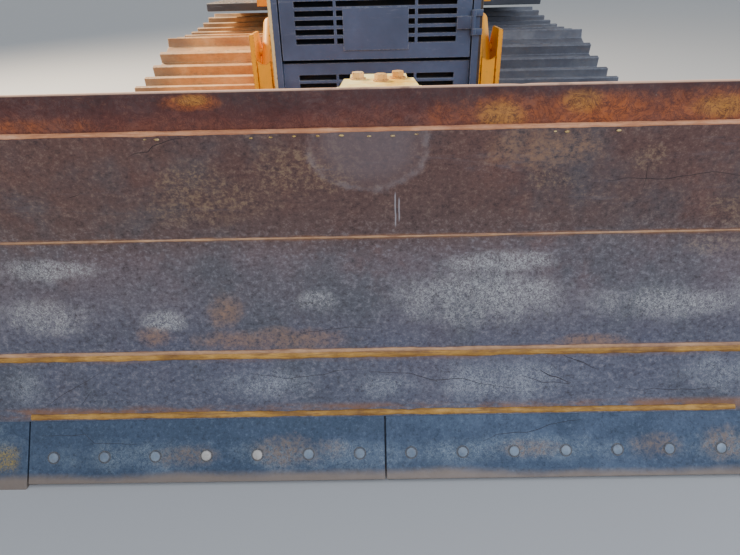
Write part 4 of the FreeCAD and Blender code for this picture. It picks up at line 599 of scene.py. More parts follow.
DRESS = (
    # finish, width of the rounded edges in metres, nodes
    (TRACK, 0.005, "track_left track_right"),
    (IRON, 0.0, "idlers track_rollers carrier_rollers sprockets pivot_shafts"),
    (CHROME, 0.0, "lift_rod_left lift_rod_right angle_rod_left angle_rod_right tilt_rod"),
    (GLASS, 0.0, "cab_glass door_glass_left door_glass_right"),
    (FINS, 0.0, "radiator_core"),
    (EDGE, 0.002, "cutting_edges"),
    (YELLOW, 0.003, "angle_barrel_left angle_barrel_right tilt_barrel"),
    (YELLOW, 0.004, "blade_back hood"),
    (YELLOW, 0.005, "push_frame side_panels engine_door_left engine_door_right cab_door_left cab_door_right"),
    (YELLOW, 0.006, "track_frames equalizer_bar final_drives drawbar cab_shell"),
    (YELLOW, 0.01, "cowl"),
    (YELLOW, 0.012, "rear_hull"),
    (YELLOW, 0.02, "cab_roof fuel_tank"),
    (CAP_YELLOW, 0.004, "swivel_tower"),
    (TOWER_YELLOW, 0.003, "lift_towers lift_barrel_left lift_barrel_right"),
    (CHARCOAL, 0.003, "lower_grille grille_door"),
    (CHARCOAL, 0.005, "radiator_guard"),
    (FRAME_PAINT, 0.006, "main_frame centre_housing fenders"),
    (FRAME_PAINT, 0.008, "engine_block"),
    (TRIM, 0.0, "grab_rails"),
    (TRIM, 0.003, "work_lamps exhaust_stack"),
    (TRIM, 0.006, "air_precleaner"),
    (TRIM, 0.01, "consoles dash"),
)


def dress_nodes():
    """Gives each CAD node its finish, and a rounded copy where its edges show."""
    for finish, width, nodes in DRESS:
        for node in nodes.split():
            if width:
                softened(node, finish, width)
            else:
                mesh = NODES[node].data
                mesh.materials.clear()
                mesh.materials.append(finish)


def turned(shape, matrix):
    bmesh.ops.transform(shape, matrix=matrix, verts=shape.verts)
    return shape


def join(shapes):
    """One bmesh holding all the shapes."""
    whole = bmesh.new()
    for shape in shapes:
        mesh = bpy.data.meshes.new("passing")
        shape.to_mesh(mesh)
        shape.free()
        whole.from_mesh(mesh)
        bpy.data.meshes.remove(mesh)
    return whole


def stamped(sample, places, name, finish, body="tractor"):
    """One piece of many like shapes, each put in place by a matrix."""
    shape = bmesh.new()
    mesh = bpy.data.meshes.new(name + "_one")
    sample.to_mesh(mesh)
    sample.free()
    for place in places:
        start = len(shape.verts)
        shape.from_mesh(mesh)
        shape.verts.ensure_lookup_table()
        bmesh.ops.transform(shape, matrix=place, verts=shape.verts[start:])
    bpy.data.meshes.remove(mesh)
    return mesh_piece(name, shape, finish, body)


def points_of(made):
    return [part for part in made["geom"] if isinstance(part, bmesh.types.BMVert)]


def softly_cut(shape, edges, offset, segments=2):
    """Bevels some edges of a shape."""
    bmesh.ops.bevel(shape, geom=edges, offset=offset, segments=segments, profile=0.5, affect="EDGES", material=-1)


def block(low, high, rounding, segments=2):
    """A box between two corners, its edges rounded."""
    shape = bmesh.new()
    bmesh.ops.create_cube(shape, size=1.0)
    low, high = Vector(low), Vector(high)
    bmesh.ops.scale(shape, vec=high - low, verts=shape.verts)
    bmesh.ops.translate(shape, vec=(low + high) / 2, verts=shape.verts)
    softly_cut(shape, shape.edges[:], rounding, segments)
    return shape


def slab(x, half, y, z, rounding, segments=2):
    """A block that reaches half to each side of x, with its lowest and highest y and z."""
    return block((x - half, y[0], z[0]), (x + half, y[1], z[1]), rounding, segments)


def drum(shape, radius, depth, sides, foot=0.0, top=None, ends=True):
    """Adds a cylinder or cone that stands on z = foot, and gives its points."""
    made = bmesh.ops.create_cone(shape, cap_ends=ends, segments=sides, radius1=radius,
                                 radius2=radius if top is None else top, depth=depth)["verts"]
    bmesh.ops.translate(shape, vec=(0, 0, foot + depth / 2), verts=made)
    return made


def disc(radius, thickness, crown, sides=20):
    """A flat round head with a bevelled rim, lying on z = 0."""
    shape = bmesh.new()
    drum(shape, radius, thickness, sides)
    rim = [e for e in shape.edges if all(v.co.z > thickness * 0.9 for v in e.verts)]
    softly_cut(shape, rim, crown)
    return shape


def hex_bolt(across_flats, height, washer=True):
    """A hexagon head with chamfered top, on its washer or on z = 0."""
    shape = bmesh.new()
    foot = 0.0
    if washer:
        drum(shape, across_flats * 0.72, height * 0.22, 24)
        foot = height * 0.2
    head = drum(shape, across_flats / math.sqrt(3), height, 6, foot)
    top = [e for e in shape.edges if all(v in head and v.co.z > foot + height * 0.9 for v in e.verts)]
    softly_cut(shape, top, height * 0.12)
    return shape


def ball(radius, size, across=28, up=12):
    """A globe stretched along its axes."""
    shape = bmesh.new()
    bmesh.ops.create_uvsphere(shape, u_segments=across, v_segments=up, radius=radius)
    bmesh.ops.scale(shape, vec=size, verts=shape.verts)
    return shape


def flat_ring(radius, sides=28, inner=0.84, rise=0.004, thick=0.004):
    """A ring facing Z, its inner rim drawn in and raised."""
    shape = bmesh.new()
    bmesh.ops.create_circle(shape, segments=sides, radius=radius)
    rim = points_of(bmesh.ops.extrude_edge_only(shape, edges=shape.edges[:]))
    bmesh.ops.scale(shape, vec=(inner, inner, 1), verts=rim)
    bmesh.ops.translate(shape, vec=(0, 0, rise), verts=rim)
    bmesh.ops.solidify(shape, geom=shape.faces[:], thickness=thick)
    bmesh.ops.recalc_face_normals(shape, faces=shape.faces)
    return shape


def tube(points, radius, roundness=2, smooth_steps=6):
    """A pipe along points: a smooth curve with round section and closed ends."""
    curve = bpy.data.curves.new("pipe", "CURVE")
    curve.dimensions = "3D"
    spline = curve.splines.new("NURBS")
    spline.points.add(len(points) - 1)
    for point, place in zip(spline.points, points):
        point.co = (*place, 1)
    spline.order_u = 3
    spline.use_endpoint_u = True
    curve.resolution_u = smooth_steps
    curve.bevel_depth = radius
    curve.bevel_resolution = roundness
    curve.use_fill_caps = True
    holder = bpy.data.objects.new("pipe", curve)
    mesh = bpy.data.meshes.new_from_object(holder)
    shape = bmesh.new()
    shape.from_mesh(mesh)
    bmesh.ops.remove_doubles(shape, verts=shape.verts, dist=1e-5)
    bmesh.ops.recalc_face_normals(shape, faces=shape.faces)
    bpy.data.objects.remove(holder)
    bpy.data.curves.remove(curve)
    bpy.data.meshes.remove(mesh)
    return shape


def split_run(here, there, count):
    """Points from here up to, but not at, there."""
    return [(here[0] + (there[0] - here[0]) * i / count, here[1] + (there[1] - here[1]) * i / count)
            for i in range(count)]


def outline_of(corners, pace):
    """A closed outline with points added so that none of its runs is longer than pace."""
    points = []
    for here, there in zip(corners, corners[1:] + corners[:1]):
        points += split_run(here, there, max(1, round(math.dist(here, there) / pace)))
    return points


def grown(outline, x_low, x_high, steps):
    """A bar along X: the outline's face, given as (y, z) points, drawn out in equal steps."""
    shape = bmesh.new()
    face = shape.faces.new([shape.verts.new((x_low, y, z)) for y, z in outline])
    stride = Vector(((x_high - x_low) / steps, 0, 0))
    for _ in range(steps):
        made = bmesh.ops.extrude_face_region(shape, geom=[face])
        bmesh.ops.translate(shape, vec=stride, verts=points_of(made))
        old, face = face, next(f for f in made["geom"] if isinstance(f, bmesh.types.BMFace))
        if old.is_valid and old is not face and old.calc_center_median().x > x_low + 1e-6:
            bmesh.ops.delete(shape, geom=[old], context="FACES_ONLY")
    bmesh.ops.recalc_face_normals(shape, faces=shape.faces)
    return shape


def facing_matrix(point, normal, spin=0.0):
    """Stands Z of a shape along a normal at a point."""
    return (Matrix.Translation(point) @ Vector(normal).to_track_quat("Z", "Y").to_matrix().to_4x4()
            @ Matrix.Rotation(spin, 4, "Z"))


def stand(x_axis, y_axis, place):
    """The matrix that lays a flat shape along two axes at a place."""
    x_axis, y_axis = Vector(x_axis), Vector(y_axis)
    return Matrix.Translation(place) @ Matrix((x_axis, y_axis, x_axis.cross(y_axis))).transposed().to_4x4()


def surface_of(*nodes):
    """A search tree over the faces of some CAD nodes."""
    shape = bmesh.new()
    for node in nodes:
        shape.from_mesh(NODES[node].data)
    tree = BVHTree.FromBMesh(shape)
    shape.free()
    return tree


def seats_on(tree, starts, direction, sink=0.001):
    """Matrices that stand shapes where rays from the starts meet a surface."""
    places = []
    direction = Vector(direction)
    for i, start in enumerate(starts):
        spot, normal, _, _ = tree.ray_cast(Vector(start), direction)
        if spot:
            if normal.dot(direction) > 0:
                normal = -normal
            places.append(facing_matrix(spot - normal * sink, normal, i * 0.7))
    return places


def seats_on_sides(tree, starts):
    """Seats on the left side of a surface, and their mirror images on the right."""
    return (seats_on(tree, starts, (-1, 0, 0))
            + seats_on(tree, [(-x, y, z) for x, y, z in starts], (1, 0, 0)))


def ring_of(centre, radius, count, axis="X"):
    """Points spread round a circle that faces an axis."""
    points = []
    for i in range(count):
        turn = 2 * math.pi * (i + 0.5) / count
        a, b = radius * math.cos(turn), radius * math.sin(turn)
        points.append(Vector(centre) + (Vector((0, a, b)) if axis == "X" else Vector((a, 0, b))))
    return points


EDGE_THICK = 0.025
SKIN = 0.016
FACE_FOOT = 0.030
BEHIND_EDGE = 0.0003
DENT_DEPTH = 0.0035
LIP_SETBACK = 0.009
LIP_THICK = 0.014
BOLT_PITCH = 0.1524
BOLT_HEIGHT = 0.46 * FACETS[0][0]
EDGE_LENGTH = 1.067
EDGE_COLUMNS = sorted(x for side in (-1, 1) for x in (
    *(side * EDGE_LENGTH / 2 + BOLT_PITCH * i for i in range(-3, 4)),
    *(side * (EDGE_LENGTH + (HALF_BLADE - EDGE_LENGTH) / 2) + BOLT_PITCH * i for i in (-1, 0, 1))))


def build_blade_face():
    """The moldboard as one plate of three flat facets, gently dented by use; gives its search tree."""
    tip, edge_top, low, middle, high, crest = CORNERS
    thick = EDGE_THICK / math.sin(SLOPES[0])
    back = 0.020 / math.sin(SLOPES[0])
    foot_y = tip.y + thick + FACE_FOOT / math.tan(SLOPES[0]) + BEHIND_EDGE
    ledge = edge_top.z + BEHIND_EDGE
    outline = [(foot_y, FACE_FOOT), (edge_top.y + thick + BEHIND_EDGE, ledge), (edge_top.y, ledge)]
    outline += [(corner.y, corner.z) for corner in (low, middle, high, crest)]
    outline += [(corner.y + SKIN, corner.z) for corner in (crest, high, middle)]
    outline += [(low.y + thick + back, low.z), (foot_y + back, FACE_FOOT)]
    shape = grown(outline_of(outline, 0.034), -HALF_BLADE, HALF_BLADE, 110)
    for v in shape.verts:
        if v.co.z > edge_top.z:
            away = min(abs(v.co.z - corner.z) for corner in CORNERS[1:])
            share = min(1.0, away / 0.05) * min(1.0, (HALF_BLADE - abs(v.co.x)) / 0.06)
            if share > 0:
                broad = noise.noise(v.co * 2.1)
                fine = noise.noise(v.co * 2.1 * 4.3 + Vector((9, 0, 0)))
                v.co.y += DENT_DEPTH * share * max(0.0, 0.45 + 0.8 * broad + 0.25 * fine)
    tree = BVHTree.FromBMesh(shape)
    mesh_piece("blade_face", shape, FACE, "blade", 25, replaces=("moldboard",))
    return tree


SCRATCHES = (
    # half width in metres, then points across and up the blade in metres
    (0.0022, ((-0.655, 0.922), (-0.635, 0.931), (-0.600, 0.936), (-0.585, 0.950), (-0.550, 0.962), (-0.515, 0.971),
              (-0.492, 0.972))),
    (0.0012, ((-0.585, 0.948), (-0.590, 0.938))), (0.0018, ((-0.84, 0.815), (-0.81, 0.824))),
    (0.0020, ((0.600, 0.832), (0.640, 0.838), (0.700, 0.836), (0.760, 0.834), (0.820, 0.845), (0.870, 0.852),
              (0.910, 0.846), (0.960, 0.836))),
    (0.0014, ((0.695, 0.870), (0.700, 0.836), (0.698, 0.812))),
    (0.0014, ((-0.250, 0.395), (-0.170, 0.408), (-0.090, 0.416), (-0.030, 0.410))),
    (0.0012, ((-1.02, 0.200), (-0.945, 0.245), (-0.850, 0.290))), (0.0010, ((-0.91, 0.206), (-0.88, 0.240))),
    (0.0012, ((-0.40, 0.283), (-0.29, 0.268), (-0.23, 0.272), (-0.11, 0.290), (-0.05, 0.293))),
    (0.0020, ((-0.04, 0.282), (0.08, 0.276), (0.15, 0.257), (0.235, 0.259), (0.28, 0.246), (0.39, 0.231))),
    (0.0032, ((0.465, 0.278), (0.50, 0.262), (0.555, 0.244))),
    (0.0026, ((0.535, 0.320), (0.575, 0.302), (0.64, 0.278))),
    (0.0018, ((0.41, 0.264), (0.47, 0.246), (0.555, 0.242))), (0.0012, ((0.72, 0.222), (0.85, 0.222), (1.0, 0.224))),
    (0.0014, ((0.29, 0.100), (0.33, 0.116), (0.43, 0.122), (0.52, 0.142), (0.58, 0.146))),
    (0.0009, ((-1.03, 0.130), (-0.90, 0.130), (-0.87, 0.110), (-0.74, 0.104))),
    (0.0012, ((-1.42, 0.62), (-1.30, 0.635), (-1.22, 0.628))), (0.0014, ((1.22, 0.90), (1.30, 0.885), (1.45, 0.89))),
)


def build_gouges(faces):
    """Dark scored lines that lie in the face, each a thin ribbon with a crowned back."""
    shape = bmesh.new()
    for wide, marks in SCRATCHES:
        points = []
        for here, there in zip(marks, marks[1:]):
            points += split_run(here, there, max(2, round(math.dist(here, there) / 0.012)))
        points.append(marks[-1])
        last = len(points) - 1
        rings = []
        for i, (x, z) in enumerate(points):
            z += 0.004 * noise.noise(Vector((x * 25, z * 25, 0)))
            for tree in faces:
                spot, normal, _, _ = tree.ray_cast(Vector((x, -3.2, z)), Vector((0, 1, 0)))
                if spot:
                    break
            ahead, behind = points[min(i + 1, last)], points[max(i - 1, 0)]
            along = Vector((ahead[0] - behind[0], 0, ahead[1] - behind[1])).normalized()
            aside = along.cross(normal).normalized()
            half = wide * (0.35 + 0.65 * math.sin(math.pi * min(1.0, (i + 0.6) / last))) / 2 + 0.0003
            rings.append([shape.verts.new(spot + aside * half * a + normal * b)
                          for a, b in ((-1, -0.0006), (-0.5, 0.0003), (0.5, 0.0003), (1, -0.0006))])
        for low, high in zip(rings, rings[1:]):
            for k in range(4):
                shape.faces.new((low[k], low[(k + 1) % 4], high[(k + 1) % 4], high[k]))
        shape.faces.new(rings[0])
        shape.faces.new(rings[-1])
    bmesh.ops.recalc_face_normals(shape, faces=shape.faces)
    mesh_piece("gouges", shape, GOUGE, "blade", 60)


def weld_bead(name, corner, slope, width, height, finish, seed, lumps=0.35,
              ends=(0.004 - HALF_BLADE, HALF_BLADE - 0.004)):
    """A run of weld metal along X, laid on a corner of the face."""
    outline = []
    for i in range(12):
        turn = 2 * math.pi * i / 12
        point = (corner + up_face(slope) * (width / 2 * math.cos(turn))
                 + out_of_face(slope) * (height * math.sin(turn)))
        outline.append((point.y, point.z))
    shape = grown(outline, *ends, 260)
    for v in shape.verts:
        broad = noise.noise(Vector((v.co.x * 9 + seed, 0, seed)))
        fine = noise.noise(Vector((v.co.x * 42, v.co.z * 30, seed)))
        base = Vector((v.co.x, corner.y, corner.z))
        v.co = base + (v.co - base) * (1 + lumps * broad + lumps * 0.6 * fine)
    mesh_piece(name, shape, finish, "blade", 60)


def build_welds():
    """Two runs over the big seam, one over the cutting edges, a fine one above, one under the lip, and drips."""
    upward = up_face(SLOPES[3])
    weld_bead("weld_low_to_middle", CORNERS[3] - upward * 0.003, (SLOPES[2] + SLOPES[3]) / 2, 0.020, 0.0050, WELD, 3.0)
    weld_bead("weld_over_seam", CORNERS[3] + upward * 0.010, SLOPES[3], 0.013, 0.0035, PALE_WELD, 4.0)
    weld_bead("weld_edge_to_low", (CORNERS[1] + CORNERS[2]) / 2, SLOPES[1], 0.017, 0.004, WELD, 5.0,
              ends=(-1.062, 1.04))
    weld_bead("seam_middle_to_top", CORNERS[4], (SLOPES[3] + SLOPES[4]) / 2, 0.0065, 0.0022, PALE_WELD, 7.0, 0.6)
    ledge = CORNERS[5] + Vector((0, LIP_SETBACK - 0.004, 0.004))
    weld_bead("weld_under_lip", ledge, math.radians(55), 0.014, 0.0045, LIP_WELD, 11.0, 0.25)
    drops = []
    for x in (-0.33, -0.28, -0.22, -0.16, -0.10, -0.03, 0.03, 0.09, 0.44, 0.47, 0.60, -0.60, -0.57):
        drop = ball(0.0022 + 0.0022 * chance.random(), (1.5 + chance.random(), 0.7, 0.8), 10, 6)
        place = CORNERS[5] + Vector((x, 0.0, -0.008 - 0.004 * chance.random()))
        drops.append(turned(drop, Matrix.Translation(place)))
    mesh_piece("paint_drips", join(drops), DRIP, "blade")


def build_lip():
    """The lip above the facets, with a wavy top edge and small nicks."""
    low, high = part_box("top_lip")
    front = CORNERS[5].y + LIP_SETBACK
    top = min(high.y - LIP_THICK, front + 0.1 / math.tan(math.radians(85)))
    outline = [(front, low.z), (top, high.z - 0.003), (top + 0.003, high.z), (top + LIP_THICK - 0.003, high.z),
               (top + LIP_THICK, high.z - 0.003), (front + LIP_THICK + 0.020, low.z)]
    shape = grown(outline_of(outline, 0.022), -HALF_BLADE, HALF_BLADE, 160)
    for v in shape.verts:
        raised = (v.co.z - low.z) / (high.z - low.z)
        wave = 0.5 + 0.5 * noise.noise(Vector((v.co.x * 1.3, 0, 4)))
        nick = max(0.0, noise.noise(Vector((v.co.x * 16, 0, 1))) - 0.42) * 3
        v.co.z -= (0.004 * wave + 0.004 * nick) * max(0.0, raised - 0.5) * 2
        v.co.y += 0.003 * noise.noise(Vector((v.co.x * 2.6, v.co.z * 5, 0))) * raised * (abs(v.co.x) < HALF_BLADE)
    mesh_piece("lip_plate", shape, LIP, "blade", 30, replaces=("top_lip",))


def on_edge(x, outward):
    """The matrix of a bolt's spot on the cutting edge, with Z out of the face."""
    upward, normal, across = up_face(SLOPES[0]), out_of_face(SLOPES[0]), Vector((1, 0, 0))
    return (Matrix.Translation(TIP + upward * BOLT_HEIGHT + across * x + normal * outward)
            @ Matrix((across, upward, normal)).transposed().to_4x4())


def build_edge_bolts():
    """Plough bolts: sunk heads ringed by dark countersinks painted as the shade of their hollows, two of them rubbed
    bright, and nuts behind.
    """
    bright = (-EDGE_LENGTH / 2, -EDGE_LENGTH / 2 + BOLT_PITCH)
    rubbed = [x for x in EDGE_COLUMNS if any(abs(x - b) < 0.01 for b in bright)]
    # Painted shade: a flat dark ring round each head stands for the shaded hollow of its countersink.
    ring = turned(flat_ring(0.0185, 24, 0.86, 0.0, 0.0012), Matrix.Translation((0, 0, 0.0022)))
    stamped(ring, [on_edge(x, -0.0015) for x in EDGE_COLUMNS], "bolt_countersinks", COUNTERSINK_SHADE, "blade")
    stamped(disc(0.0145, 0.0040, 0.0012), [on_edge(x, -0.0012) for x in EDGE_COLUMNS if x not in rubbed],
            "edge_bolts", BOLT, "blade")
    stamped(disc(0.0150, 0.0045, 0.0015), [on_edge(x, -0.0012) for x in rubbed], "edge_bolts_rubbed", BRIGHT, "blade")
    behind = TIP + up_face(SLOPES[0]) * BOLT_HEIGHT
    away = -out_of_face(SLOPES[0])
    starts = [Vector((x, behind.y, behind.z)) + away * 0.11 for x in EDGE_COLUMNS]
    back = surface_of("cutting_edges", "blade_back", "moldboard")
    stamped(hex_bolt(0.034, 0.018), seats_on(back, starts, -away), "edge_nuts", IRON, "blade")


def build_shoe_bolts():
    """Four bolt heads behind the bar of every track shoe."""
    across = Vector((1, 0, 0))
    for node in ("track_left", "track_right"):
        shape = merged_copy(node)
        middle = (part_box(node)[0].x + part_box(node)[1].x) / 2
        spots = []
        for face in shape.faces:
            xs = [v.co.x for v in face.verts]
            sides = [v.co.cross(across) for v in face.verts]
            span = max((a - b).length for a in sides for b in sides)
            spot, normal = face.calc_center_median(), face.normal.copy()
            centre = Vector((spot.x, min(max(spot.y, -1.05), 1.72), 0.48))
            outward = normal.dot(spot - centre) > 0
            if max(xs) - min(xs) > 0.6 and 0.06 < span < 0.19 and abs(normal.x) < 0.1 and outward:
                seat = Vector((0, spot.y, spot.z)) + across.cross(normal) * 0.012 - normal * 0.001
                spots += [facing_matrix(seat + across * (middle + x), normal, x * 7)
                          for x in (-0.13, -0.065, 0.065, 0.13)]
        shape.free()
        stamped(hex_bolt(0.026, 0.012, washer=False), spots, node + "_shoe_bolts", IRON)


def build_guard_and_cap():
    """The bare and the repainted corner of the guard's posts, the repainted one's pale cream partly a painted sunlit
    edge, and the three bolts of the tower's cap.
    """
    low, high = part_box("radiator_guard")
    y, z = (-1.0015, -0.90), (0.58, high.z - 0.02)
    # The strip on the -X post is pale paint with painted sunlight; the one on the +X post is bare iron.
    for name, near, far, finish in (("right", low.x - 0.0008, low.x + 0.014, GUARD_STRIP_SUNLIT),
                                    ("left", high.x - 0.010, high.x + 0.0008, IRON)):
        mesh_piece("guard_strip_" + name, block((near, y[0], z[0]), (far, y[1], z[1]), 0.002), finish)
    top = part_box("swivel_tower")[1].z
    places = [Matrix.Translation((x, y, top)) @ Matrix.Rotation(turn, 4, "Z")
              for x, y, turn in ((-0.062, -1.888, 0.2), (0.006, -1.925, 0.5), (0.058, -1.882, 0.05))]
    stamped(hex_bolt(0.033, 0.017), places, "cap_bolts", CAP_BOLT, "swivel")


def window_seal(wide, high, across, up, place):
    """A rubber frame round an opening of this size, with a sloped outer edge, laid along two axes at a place."""
    lap, depth = 0.014, 0.012
    shape = bmesh.new()
    rings = []
    for out, height in ((lap, 0.0), (lap - 0.002, depth * 0.7), (lap - 0.006, depth), (-0.004, depth),
                        (-0.008, depth * 0.6), (-0.008, 0.0)):
        x, y = wide / 2 + out, high / 2 + out
        rings.append([shape.verts.new((u * x, v * y, height)) for u, v in ((-1, -1), (1, -1), (1, 1), (-1, 1))])
    for first, second in zip(rings, rings[1:] + rings[:1]):
        for k in range(4):
            shape.faces.new((first[k], first[k - 1], second[k - 1], second[k]))
    bmesh.ops.recalc_face_normals(shape, faces=shape.faces)
    return turned(shape, stand(across, up, place))


def build_window_seals():
    up = (0, 0, 1)
    frames = [window_seal(1.38, 0.90, (1, 0, 0), up, (0, 0.424, 2.20)),
              window_seal(1.38, 0.90, (-1, 0, 0), up, (0, 1.796, 2.20))]
    for side in (-1, 1):
        frames += [window_seal(0.41, 0.90, (0, side, 0), up, (side * 0.757, 1.525, 2.20)),
                   window_seal(0.18, 0.41, (1, 0, 0), up, (side * 0.60, 0.424, 1.475))]
    mesh_piece("window_seals", join(frames), RUBBER)
    for side, name in SIDES:
        seal = window_seal(0.61, 1.09, (0, side, 0), up, (side * 0.757, 0.885, 2.045))
        mesh_piece("door_seal_" + name, seal, RUBBER, f"cab_door_{name}_body")


def build_door_handles():
    """A pull handle with its lock plate on each cab door, and two latches on each engine door."""
    for side, name in SIDES:
        plate = slab(side * 0.763, 0.003, (0.535, 0.575), (1.30, 1.47), 0.0025)
        grip = tube([(side * x, 0.555, z) for x, z in ((0.760, 1.315), (0.794, 1.318), (0.798, 1.345), (0.798, 1.42),
                                                       (0.794, 1.447), (0.760, 1.45))], 0.007)
        lock = turned(disc(0.011, 0.010, 0.002), facing_matrix((side * 0.764, 0.555, 1.285), (side, 0, 0)))
        mesh_piece("cab_handle_" + name, join([plate, grip, lock]), TRIM, f"cab_door_{name}_body")
        spots = seats_on(surface_of("engine_door_" + name), [(side * 0.6, 0.345, z) for z in (1.06, 1.42)],
                         (-side, 0, 0))
        latch = join([disc(0.026, 0.007, 0.002), block((-0.020, -0.004, 0.006), (0.020, 0.004, 0.014), 0.0015)])
        stamped(latch, spots, "engine_latches_" + name, TRIM, f"engine_door_{name}_body")


def build_wipers():
    pieces = []
    for x, lean in ((-0.30, 0.16), (0.36, -0.16)):
        pieces += [turned(disc(0.022, 0.020, 0.004), facing_matrix((x, 0.421, 1.715), (0, -1, 0))),
                   tube([(x, 0.404, 1.715), (x + lean * 0.2, 0.402, 1.80), (x + lean, 0.406, 2.12)], 0.005),
                   slab(x + lean, 0.006, (0.4105, 0.4235), (1.92, 2.34), 0.002)]
    pieces += [turned(disc(0.022, 0.018, 0.004), facing_matrix((0.1, 1.799, 1.715), (0, 1, 0))),
               tube([(0.1, 1.815, 1.715), (0.06, 1.818, 1.82), (-0.04, 1.813, 2.10)], 0.005),
               slab(-0.04, 0.006, (1.797, 1.809), (1.92, 2.30), 0.002)]
    mesh_piece("wipers", join(pieces), TRIM)


def build_mirrors():
    """Two mirrors on bent arms at the cab's front corners, their glass set in black shells."""
    arms, shells, glass = [], [], []
    for side in (-1, 1):
        arms += [tube([(side * 0.757, 0.50, 2.44), (side * 0.84, 0.49, 2.45), (side * 0.93, 0.44, 2.45),
                       (side * 0.975, 0.425, 2.44), (side * 0.98, 0.425, 2.30)], 0.009),
                 turned(disc(0.026, 0.006, 0.002), facing_matrix((side * 0.757, 0.50, 2.44), (side, 0, 0)))]
        shells.append(slab(side * 0.98, 0.075, (0.395, 0.432), (2.13, 2.38), 0.014, 3))
        glass.append(slab(side * 0.98, 0.066, (0.430, 0.4345), (2.139, 2.371), 0.0015))
    mesh_piece("mirror_arms", join(arms), TRIM)
    mesh_piece("mirror_shells", join(shells), TRIM)
    mesh_piece("mirror_glass", join(glass), MIRROR)


def build_lamps():
    """Glass and bezel of the six work lamps, and the two tail lamps on the tank."""
    spots, cases, red = [], [], []
    for side in (-1, 1):
        spots += [facing_matrix((side * 0.55, 0.331, 2.6597), (0, -1, 0)),
                  facing_matrix((side * 0.55, 1.889, 2.6597), (0, 1, 0)),
                  facing_matrix((side * 0.31, -0.759, 1.7663), (0, -1, 0))]
        cases.append(slab(side * 0.47, 0.045, (2.327, 2.352), (1.30, 1.41), 0.006))
        red.append(slab(side * 0.47, 0.037, (2.348, 2.360), (1.308, 1.402), 0.005))
    stamped(ball(0.038, (1, 1, 0.16)), spots, "lamp_glass", LAMP_GLASS)
    stamped(flat_ring(0.0455), spots, "lamp_bezels", TRIM)
    mesh_piece("tail_lamp_cases", join(cases), TRIM)
    mesh_piece("tail_lamp_glass", join(red), RED_GLASS)


def build_fender_tread():
    """Raised lozenges of the anti-slip plate on the fenders."""
    bar = bmesh.new()
    drum(bar, 0.016, 0.003, 6, -0.0015, 0.011)
    bmesh.ops.scale(bar, vec=(1, 0.34, 1), verts=bar.verts)
    places = []
    for side in (-1, 1):
        for i in range(10):
            for j in range(21):
                spin = math.radians(45 if (i + j) % 2 else -45)
                places.append(Matrix.Translation((side * (0.81 + 0.042 * i), 0.985 + 0.0435 * j, 1.1302))
                              @ Matrix.Rotation(spin, 4, "Z"))
    stamped(bar, places, "fender_tread", FRAME_PAINT)


def build_bolts():
    """Bolts of the hood, guard, hull cover, hub caps, track frames and tank, each seated on its surface."""
    hood = surface_of("hood", "side_panels")
    starts = [(0.7, y, 1.54) for y in (-0.74, -0.55, -0.36, -0.17, 0.02, 0.21, 0.36)]
    starts += [(0.7, -0.72, z) for z in (0.66, 0.86, 1.06, 1.26, 1.44)]
    starts += [(0.7, y, 0.62) for y in (-0.55, -0.30, -0.05, 0.20, 0.36)]
    places = seats_on_sides(hood, starts)
    places += seats_on(hood, [(x, y, 2.0) for x in (-0.33, 0.33) for y in (-0.62, -0.40, -0.18, 0.04, 0.26)],
                       (0, 0, -1))
    stamped(hex_bolt(0.017, 0.009), places, "hood_bolts", DARK_BOLT)
    round_cover = turned(disc(0.095, 0.022, 0.006, 32), facing_matrix((0, 2.131, 0.85), (0, 1, 0)))
    mesh_piece("hull_cover", join([slab(0, 0.30, (2.119, 2.132), (0.66, 1.04), 0.005), round_cover]), YELLOW)
    rim = [(x, z) for x in (-0.27, -0.09, 0.09, 0.27) for z in (0.69, 1.01)]
    rim += [(x, z) for x in (-0.27, 0.27) for z in (0.80, 0.90)]
    places = [facing_matrix((x, 2.131, z), (0, 1, 0), x * 9) for x, z in rim]
    places += [facing_matrix(p, (0, 1, 0), i) for i, p in enumerate(ring_of((0, 2.152, 0.85), 0.074, 8, "Y"))]
    places += seats_on(surface_of("fuel_tank"), [(x, 2.6, 1.26) for x in (-0.18, 0.18)], (0, -1, 0))
    stamped(hex_bolt(0.027, 0.014), places, "hull_bolts", DARK_BOLT)
    gear = surface_of("sprockets", "final_drives", "track_frames", "idlers", "track_rollers")
    starts = ring_of((1.6, 1.75, 0.538), 0.118, 10) + ring_of((1.6, 1.75, 0.538), 0.200, 16)
    starts += ring_of((1.6, -1.08, 0.435), 0.032, 4)
    starts += [(1.6, y, 0.50) for y in (-0.6, -0.3, 0.0, 0.3, 0.6, 1.2)]
    stamped(hex_bolt(0.026, 0.013), seats_on_sides(gear, starts), "running_gear_bolts", DARK_BOLT)
    roller = join([disc(0.040, 0.010, 0.003, 24), disc(0.017, 0.016, 0.003, 16)])
    stamped(roller, seats_on_sides(gear, [(1.6, -0.69 + 0.325 * i, 0.264) for i in range(7)]), "roller_caps", IRON)


def build_tank():
    """Two steel straps round the fuel tank, the grip of its cap, and the rungs on the hull."""
    outline = [(1.875, 1.790), (2.2105, 1.790), (2.330, 1.6305), (2.330, 1.2095), (2.2705, 1.130)]
    outer = [(1.875, 1.7945), (2.2125, 1.7945), (2.3345, 1.632), (2.3345, 1.2078), (2.2728, 1.1265)]
    straps = [grown(outline + outer[::-1], x - 0.028, x + 0.028, 2) for x in (-0.36, 0.36)]
    mesh_piece("tank_straps", join(straps), FRAME_PAINT, smooth=20)
    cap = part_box("fuel_tank")[1].z
    mesh_piece("tank_cap_grip", slab(-0.28, 0.05, (2.003, 2.017), (cap - 0.002, cap + 0.016), 0.004), TRIM)
    rungs = [tube([(x, y, z) for x, y in ((0.432, 1.30), (0.50, 1.30), (0.52, 1.31), (0.52, 1.47), (0.50, 1.48),
                                          (0.432, 1.48))], 0.011) for z in (0.62, 0.86)]
    mesh_piece("hull_rungs", join(rungs), TRIM)


